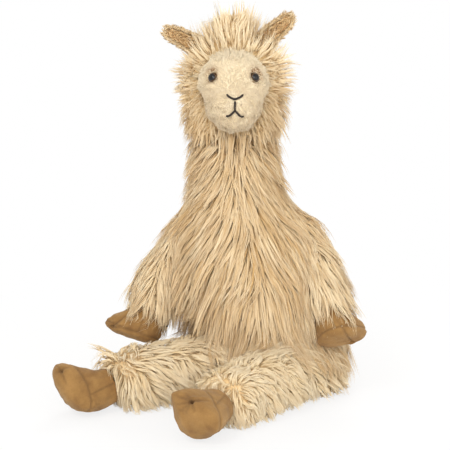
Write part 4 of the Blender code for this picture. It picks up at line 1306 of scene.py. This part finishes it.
class Outline(Enum):
    """Stitches on the muzzle, as places across from the middle and up, in millimetres."""

    NOSE = ((-7.8, 311.7), (-6.2, 309.9), (-3.9, 308.7), (-1.6, 307.9), (0.0, 307.3), (1.6, 307.9),
            (3.9, 308.7), (6.2, 309.9), (7.8, 311.7))
    LIP = ((0.0, 305.7), (0.15, 302.7), (-0.1, 299.7), (0.0, 297.1))
    MOUTH = ((-8.6, 291.5), (-6.6, 291.3), (-4.4, 292.3), (-2.0, 294.7), (0.0, 296.7), (2.0, 294.7),
             (4.4, 292.1), (6.6, 290.9), (8.6, 290.9))


@dataclass
class Stitches:
    """Nose, lip and mouth in thick dark thread that sinks into the pile."""

    face: Cloth
    middle: float = -35.5 * MM
    radius: float = 1.1 * MM
    sides: int = 8

    def dress(self) -> None:
        """Lay every stitch on the face."""
        for outline in Outline:
            node = outline.name.lower() + "_stitch"
            piece = add_piece(node + "_thread", self.sew(outline.value), THREAD)
            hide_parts(node)

    def sew(self, outline: tuple[tuple[float, float], ...]) -> bpy.types.Mesh:
        """Thread along one outline.

        Args:
            outline: Places across and up, in millimetres.

        Returns:
            The thread's mesh.
        """
        marks = np.array(outline) * MM
        shares = np.linspace(0, len(marks) - 1, 5 * (len(marks) - 1) + 1)
        across = np.interp(shares, range(len(marks)), marks[:, 0])
        up = np.interp(shares, range(len(marks)), marks[:, 1])
        kernel = np.array((1, 2, 3, 2, 1)) / 9
        across[2:-2] = np.convolve(across, kernel, "valid")
        up[2:-2] = np.convolve(up, kernel, "valid")
        points = []
        for x, z in zip(across, up):
            spot = self.face.tree.ray_cast(Vector((self.middle + x, -0.3, z)), Vector((0, 1, 0)))[0]
            points.append(spot + Vector((0, -0.75 * MM, 0)))
        bag = bmesh.new()
        bmesh.ops.create_circle(bag, cap_ends=True, segments=self.sides, radius=1)
        end = next(iter(bag.faces))
        for number, point in enumerate(points):
            run = (points[min(number + 1, len(points) - 1)] - points[max(number - 1, 0)]).normalized()
            side = run.cross(Vector((0, 1, 0))).normalized()
            edge = min(number, len(points) - 1 - number)
            size = self.radius * (0.45, 0.8, 1.0)[min(edge, 2)] * (1.0 + 0.08 * math.sin(number * 2.1))
            if number:
                end = bmesh.ops.extrude_discrete_faces(bag, faces=[end])["faces"][0]
            for index, loop in enumerate(end.loops):
                turn = 2 * math.pi * index / self.sides
                loop.vert.co = point + side * size * math.cos(turn) + run.cross(side) * size * math.sin(turn)
        bmesh.ops.holes_fill(bag, edges=[edge for edge in bag.edges if edge.is_boundary], sides=0)
        bmesh.ops.recalc_face_normals(bag, faces=bag.faces)
        return to_mesh(bag, "thread")


@dataclass
class Hoof:
    """Stuffed suede hoof: seams drawn in, and creases that run into the toe's pucker."""

    node: str
    place: Vector
    sole: Vector
    toe: Vector
    depth: float
    seed: int
    edge: float = 0.72
    corner: Vector = field(default_factory=Vector)
    pull: Vector = field(default_factory=Vector)
    hover: float = 0.0
    spread: float = 15 * MM
    seam: tuple[Vector, float] | None = None
    pucker: Vector = field(default_factory=Vector)
    creases: tuple[tuple[float, tuple[tuple[float, float, float], ...]], ...] = ()
    seam_and_crease_shades: list[float] = field(init=False, default_factory=list)
    cloth: Cloth = field(init=False)

    def __post_init__(self) -> None:
        """Round the solid off, then draw in its seams and creases, and keep how dark each place is painted.
        """
        bag = remeshed(merged_copy(self.node), 1.5 * MM)
        ease(bag, 2)
        z_axis = -self.sole.normalized()
        x_axis = (self.toe - z_axis * self.toe.dot(z_axis)).normalized()
        turn = Matrix((x_axis, z_axis.cross(x_axis), z_axis)).transposed().to_4x4()
        home = (Matrix.Translation(self.place) @ turn).inverted()
        breeze = Breeze(13 * MM, self.seed)
        bag.normal_update()
        pushes = breeze.at(np.array([vert.co[:] for vert in bag.verts]))[:, 0]
        moves = []
        for vert, push in zip(bag.verts, pushes):
            local = home @ vert.co
            depth, fold = self.crease(local, vert.co / MM, vert.normal)
            move = vert.normal * (push * 0.45 - depth) * MM
            move += self.pull * math.exp(-((vert.co - self.corner).length / self.spread) ** 2)
            front = min(1.0, max(0.0, -local.z / self.depth * 2 - 0.6))
            move.z += self.hover * front * max(0.0, 1 - vert.co.z / (26 * MM))
            moves.append(move)
            self.seam_and_crease_shades.append(fold)
        for vert, move in zip(bag.verts, moves):
            vert.co += move
            vert.co.z = max(vert.co.z, 0.0)
        self.cloth = Cloth(bag)

    def crease(self, local: Vector, spot: Vector, normal: Vector) -> tuple[float, float]:
        """Depth of seams and creases, in millimetres, and how dark they are painted: dark seam lines, and
        painted shade in the creases and the toe's dimple.

        Args:
            local: Place in the hoof's own frame: the sole faces down, the toe points along +X.
            spot: The same place in the toy, in millimetres.
            normal: The surface's normal there.

        Returns:
            The depth and the darkness, 0 to 1.
        """
        x, y, z = local / MM
        down = -z / (self.depth / MM)
        away = spot.dot(self.seam[0]) - self.seam[1] if self.seam else -z - self.depth / MM * self.edge - 1.0
        sole_seam = math.exp(-away ** 2)
        angle = math.atan2(y, x - 5.0)
        off = min(abs(math.sin(angle)), abs(math.cos(angle))) * math.hypot(x - 5.0, y)
        wall_seam = math.exp(-(off / 1.0) ** 2) if 0.05 < down < self.edge and away < 0 else 0.0
        depth = 0.75 * sole_seam + 0.55 * wall_seam
        dark = max(0.5 * sole_seam, 0.45 * wall_seam)
        dimple = math.exp(-((spot - self.pucker).length / 2.4) ** 2)
        depth += 1.4 * dimple
        # Painted shade in the pucker's dimple.
        dark = max(dark, 0.75 * dimple)
        for strength, points in self.creases:
            off, along = self.beside(spot, normal, [Vector(point) for point in (self.pucker, *points)])
            fade = 1 - 0.6 * along
            line = math.exp(-(off / 1.2) ** 2) * fade
            depth += strength * (line - 0.35 * math.exp(-((off - 3.0) / 1.6) ** 2) * fade)
            # Painted shade along the crease.
            dark = max(dark, 0.65 * line * min(1.0, strength))
        return depth, min(1.0, dark)

    def beside(self, spot: Vector, normal: Vector, points: list[Vector]) -> tuple[float, float]:
        """Distance of a place from a fold over the surface.

        Args:
            spot: The place, in millimetres.
            normal: The surface's normal there.
            points: The fold's corners.

        Returns:
            The distance, and the share of the fold's length that is passed there.
        """
        found = (99.0, 1.0)
        for number, (first, second) in enumerate(zip(points, points[1:])):
            run = second - first
            share = min(1.0, max(0.0, (spot - first).dot(run) / run.length_squared))
            arm = spot - first - run * share
            if arm.length < 8.0:
                off = (arm - normal * arm.dot(normal)).length
                found = min(found, (off, (number + share) / (len(points) - 1)))
        return found

    def dress(self) -> None:
        """Show the hoof."""
        mesh = bpy.data.meshes.new(self.node)
        self.cloth.bag.to_mesh(mesh)
        fold = mesh.attributes.new("fold", "FLOAT", "POINT")
        fold.data.foreach_set("value", np.array(self.seam_and_crease_shades, np.float32))
        piece = add_piece(self.node + "_suede", mesh, SUEDE)
        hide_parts(self.node)


@dataclass
class Studio:
    """Plain white floor and backdrop, soft lamps, and the camera of the photograph."""

    eye_point: Vector = field(default_factory=lambda: Vector((-0.045, -1.328, 0.420)))
    pitch: float = math.radians(10.7)
    lens: float = 104.0
    key: float = 9.0
    front: float = 11.0
    fill: float = 4.0
    rear: float = 9.0
    sky: float = 0.72

    def floor_material(self) -> bpy.types.Material:
        """White floor that keeps the toy's shadow and fades to plain white away from it."""
        sheet = Sheet("white_floor")
        sheet.shader.inputs["Base Color"].default_value = (0.88, 0.88, 0.87, 1.0)
        sheet.shader.inputs["Roughness"].default_value = 0.9
        path = sheet.add("ShaderNodeLightPath")
        seen = sheet.math("MAXIMUM", path.outputs["Is Camera Ray"], path.outputs["Is Glossy Ray"])
        seen = sheet.math("MAXIMUM", seen, path.outputs["Is Transmission Ray"])
        away = sheet.add("ShaderNodeVectorMath", {0: sheet.places()}, operation="LENGTH").outputs["Value"]
        fade = sheet.add("ShaderNodeMapRange", {0: away, 1: 0.22, 2: 0.5, 3: 0.78, 4: 1.0}).outputs[0]
        glow = sheet.add("ShaderNodeEmission", {"Color": (1.0, 1.0, 1.0), "Strength": 1.0})
        share = sheet.math("MULTIPLY", seen, fade)
        mixed = sheet.add("ShaderNodeMixShader", {0: share, 1: sheet.shader.outputs[0], 2: glow.outputs[0]})
        sheet.feed(sheet.tree.nodes["Material Output"].inputs[0], mixed.outputs[0])
        return sheet.material

    def lamp(self, name: str, place: Vector, size: float, power: float) -> None:
        """Soft square lamp that looks at the toy.

        Args:
            name: The lamp's name.
            place: Where it stands.
            size: Its width.
            power: Its power in watts.
        """
        light = bpy.data.lights.new(name, "AREA")
        light.size = size
        light.energy = power
        stand = bpy.data.objects.new(name, light)
        stand.location = place
        stand.rotation_euler = (Vector((-0.03, -0.04, 0.16)) - place).to_track_quat("-Z", "Y").to_euler()
        bpy.context.scene.collection.objects.link(stand)

    def build(self) -> None:
        """Set up floor, world, lamps and camera."""
        bag = bmesh.new()
        bmesh.ops.create_circle(bag, cap_ends=True, segments=64, radius=40.0)
        mesh = to_mesh(bag, "floor")
        mesh.materials.append(self.floor_material())
        floor = bpy.data.objects.new("floor", mesh)
        bpy.context.scene.collection.objects.link(floor)
        world = bpy.data.worlds.new("white_room")
        world.use_nodes = True
        tree = world.node_tree
        light = tree.nodes["Background"]
        light.inputs[0].default_value = (1.0, 0.985, 0.96, 1.0)
        light.inputs[1].default_value = self.sky
        white = tree.nodes.new("ShaderNodeBackground")
        white.inputs[0].default_value = (1.0, 1.0, 1.0, 1.0)
        path = tree.nodes.new("ShaderNodeLightPath")
        mixed = tree.nodes.new("ShaderNodeMixShader")
        tree.links.new(path.outputs["Is Camera Ray"], mixed.inputs[0])
        tree.links.new(light.outputs[0], mixed.inputs[1])
        tree.links.new(white.outputs[0], mixed.inputs[2])
        tree.links.new(mixed.outputs[0], tree.nodes["World Output"].inputs[0])
        bpy.context.scene.world = world
        self.lamp("key", Vector((-0.75, -1.25, 1.35)), 0.6, self.key)
        self.lamp("front", Vector((0.0, -1.65, 0.75)), 0.8, self.front)
        self.lamp("fill", Vector((1.1, -1.0, 0.7)), 0.9, self.fill)
        self.lamp("back", Vector((0.3, 1.2, 1.2)), 0.8, self.rear)
        data = bpy.data.cameras.new("camera")
        data.lens = self.lens
        data.sensor_width = 36.0
        camera = bpy.data.objects.new("camera", data)
        camera.location = self.eye_point
        camera.rotation_euler = (math.pi / 2 - self.pitch, 0.0, 0.0)
        bpy.context.scene.collection.objects.link(camera)
        bpy.context.scene.camera = camera
        bpy.context.scene.view_settings.view_transform = "Standard"


def main() -> None:
    """Dress the toy from its seat up, then light it."""
    logging.basicConfig(level=logging.INFO, format="%(message)s")
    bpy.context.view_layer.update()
    torso = Torso()
    arms = [
        Limb("arm_right", mm(-75.6, 0.0, 188.0), mm(-122.1, -14.0, 84.0), Vector((-63.1, -5.7, -97.6)),
             Vector((-32.2, -20.2, -83.6)), CREAM_BACKING, "cream_fur", 51, Vector((0.1, 0.0, -0.3)), 4 * MM,
             (2 * MM, 9 * MM, 12 * MM, 8 * MM, 0.0), reaches=(0.7, 0.55, 0.6, 0.6)),
        Limb("arm_left", mm(15.6, 0.0, 188.0), mm(58.6, -55.0, 92.0), Vector((65.3, -5.9, -100.9)),
             Vector((23.7, -54.9, -73.8)), CREAM_BACKING, "cream_fur", 52, Vector((0.2, 0.0, -0.3)), 3 * MM,
             reaches=(0.75, 0.7, 0.85, 0.6)),
    ]
    legs = [
        Limb("leg_right", mm(-20.0, -23.0, 30.0), mm(-157.5, -90.1, 25.0), Vector((-137.5, -67.1, 0.0)),
             Vector((-64.7, -34.7, -21.6)), PALE_BACKING, "pale_fur", 61, reaches=(1.0, 1.0, 1.0, 1.1),
             brushed_back=True, fringe=1.0),
        Limb("leg_left", mm(66.0, -6.0, 30.0), mm(-52.3, -154.7, 25.0), Vector((-118.3, -148.7, 0.0)),
             Vector((-40.0, -85.7, -9.5)), PALE_BACKING, "pale_fur", 62, reaches=(1.6, 0.95, 0.85, 0.8),
             brushed_back=True, arch=8 * MM),
    ]
    hooves = [
        Hoof("hind_hoof_left", mm(-52.3, -154.7, 25.0), Vector((-0.42, -0.90, -0.10)),
             Vector((-0.58, 0.10, 0.80)), 52 * MM, 71, corner=mm(-91.8, -186.0, 42.8),
             pull=mm(-2.5, 0.0, 3.0), spread=8 * MM, hover=4 * MM,
             seam=(Vector((-0.851, -0.525, 0.019)), 146.2), pucker=Vector((-75.0, -198.7, 43.3)),
             creases=((2.0, ((-60.5, -192.3, 42.4),)), (1.9, ((-88.7, -195.2, 39.1),)),
                      (1.2, ((-87.9, -191.6, 46.0),)), (1.1, ((-80.6, -192.0, 49.0),)),
                      (0.9, ((-73.1, -202.2, 35.8),)), (0.8, ((-80.4, -200.4, 34.2),)),
                      (0.8, ((-85.0, -198.2, 34.5),)))),
        Hoof("hind_hoof_right", mm(-157.5, -90.1, 25.0), Vector((-0.84, -0.45, -0.28)),
             Vector((-0.42, -0.05, 0.90)), 52 * MM, 72, corner=mm(-208.0, -107.0, 41.0),
             pull=mm(-5.0, 0.0, 7.5), spread=18 * MM, hover=6 * MM,
             seam=(Vector((-0.634, -0.767, 0.096)), 207.0), pucker=Vector((-200.8, -115.6, 42.2)),
             creases=((1.3, ((-206.0, -108.0, 45.0),)), (1.4, ((-194.0, -110.6, 45.8),)),
                      (1.2, ((-196.7, -122.5, 32.9),)), (1.0, ((-204.7, -115.7, 38.8),)))),
        Hoof("front_hoof_left", mm(58.6, -55.0, 92.0), Vector((0.25, -0.58, -0.78)),
             Vector((0.90, -0.05, -0.40)), 37 * MM, 73, pucker=Vector((83.0, -72.0, 61.0)),
             creases=((1.6, ((77.0, -84.0, 71.0), (71.5, -88.0, 82.0), (66.0, -84.0, 90.0))),
                      (1.4, ((93.5, -69.0, 66.0),)), (0.9, ((76.0, -74.0, 62.0),)))),
        Hoof("front_hoof_right", mm(-122.1, -14.0, 84.0), Vector((-0.35, -0.22, -0.91)),
             Vector((-0.93, -0.05, 0.30)), 37 * MM, 74, corner=mm(-163.0, -22.0, 66.0),
             pull=mm(-6.0, 0.0, 2.0), pucker=Vector((-158.6, -31.0, 66.3)),
             creases=((1.5, ((-151.0, -31.2, 75.4), (-139.8, -27.6, 84.1), (-130.2, -28.2, 90.2))),
                      (1.4, ((-151.9, -34.7, 67.9), (-140.3, -38.9, 65.9), (-126.9, -41.3, 64.4))))),
    ]
    head = Head()
    face = Face()
    ears = [Ear("right", Vector((-0.905, -0.05, 0.422)), 81),
            Ear("left", Vector((0.759, -0.05, 0.649)), 83, -4 * MM)]
    fleece = Fleece(torso, arms, legs)
    for bag in (torso, *arms, *legs, *hooves):
        bag.dress()
    fleece.dress([hoof.cloth for hoof in hooves] + [head.cloth, face.cloth], LONG_STRANDS, SHORT_STRANDS)
    ear_cloths = [cloth for ear in ears for cloth in (ear.back, ear.lining)]
    head.dress([face.cloth, fleece.cloth] + ear_cloths)
    face.dress()
    for ear in ears:
        ear.dress()
    Stitches(face.cloth).dress()
    for side, sign in (("right", -1), ("left", 1)):
        Eye(side, Vector((-36.5 + sign * 20.8, -63.97, 327.0)) * MM, Vector((sign * 0.701, -0.468, 0.538)),
            Vector((sign * 0.30, -0.90, 0.20))).dress()
    Studio().build()


if __name__ == "__main__":
    main()
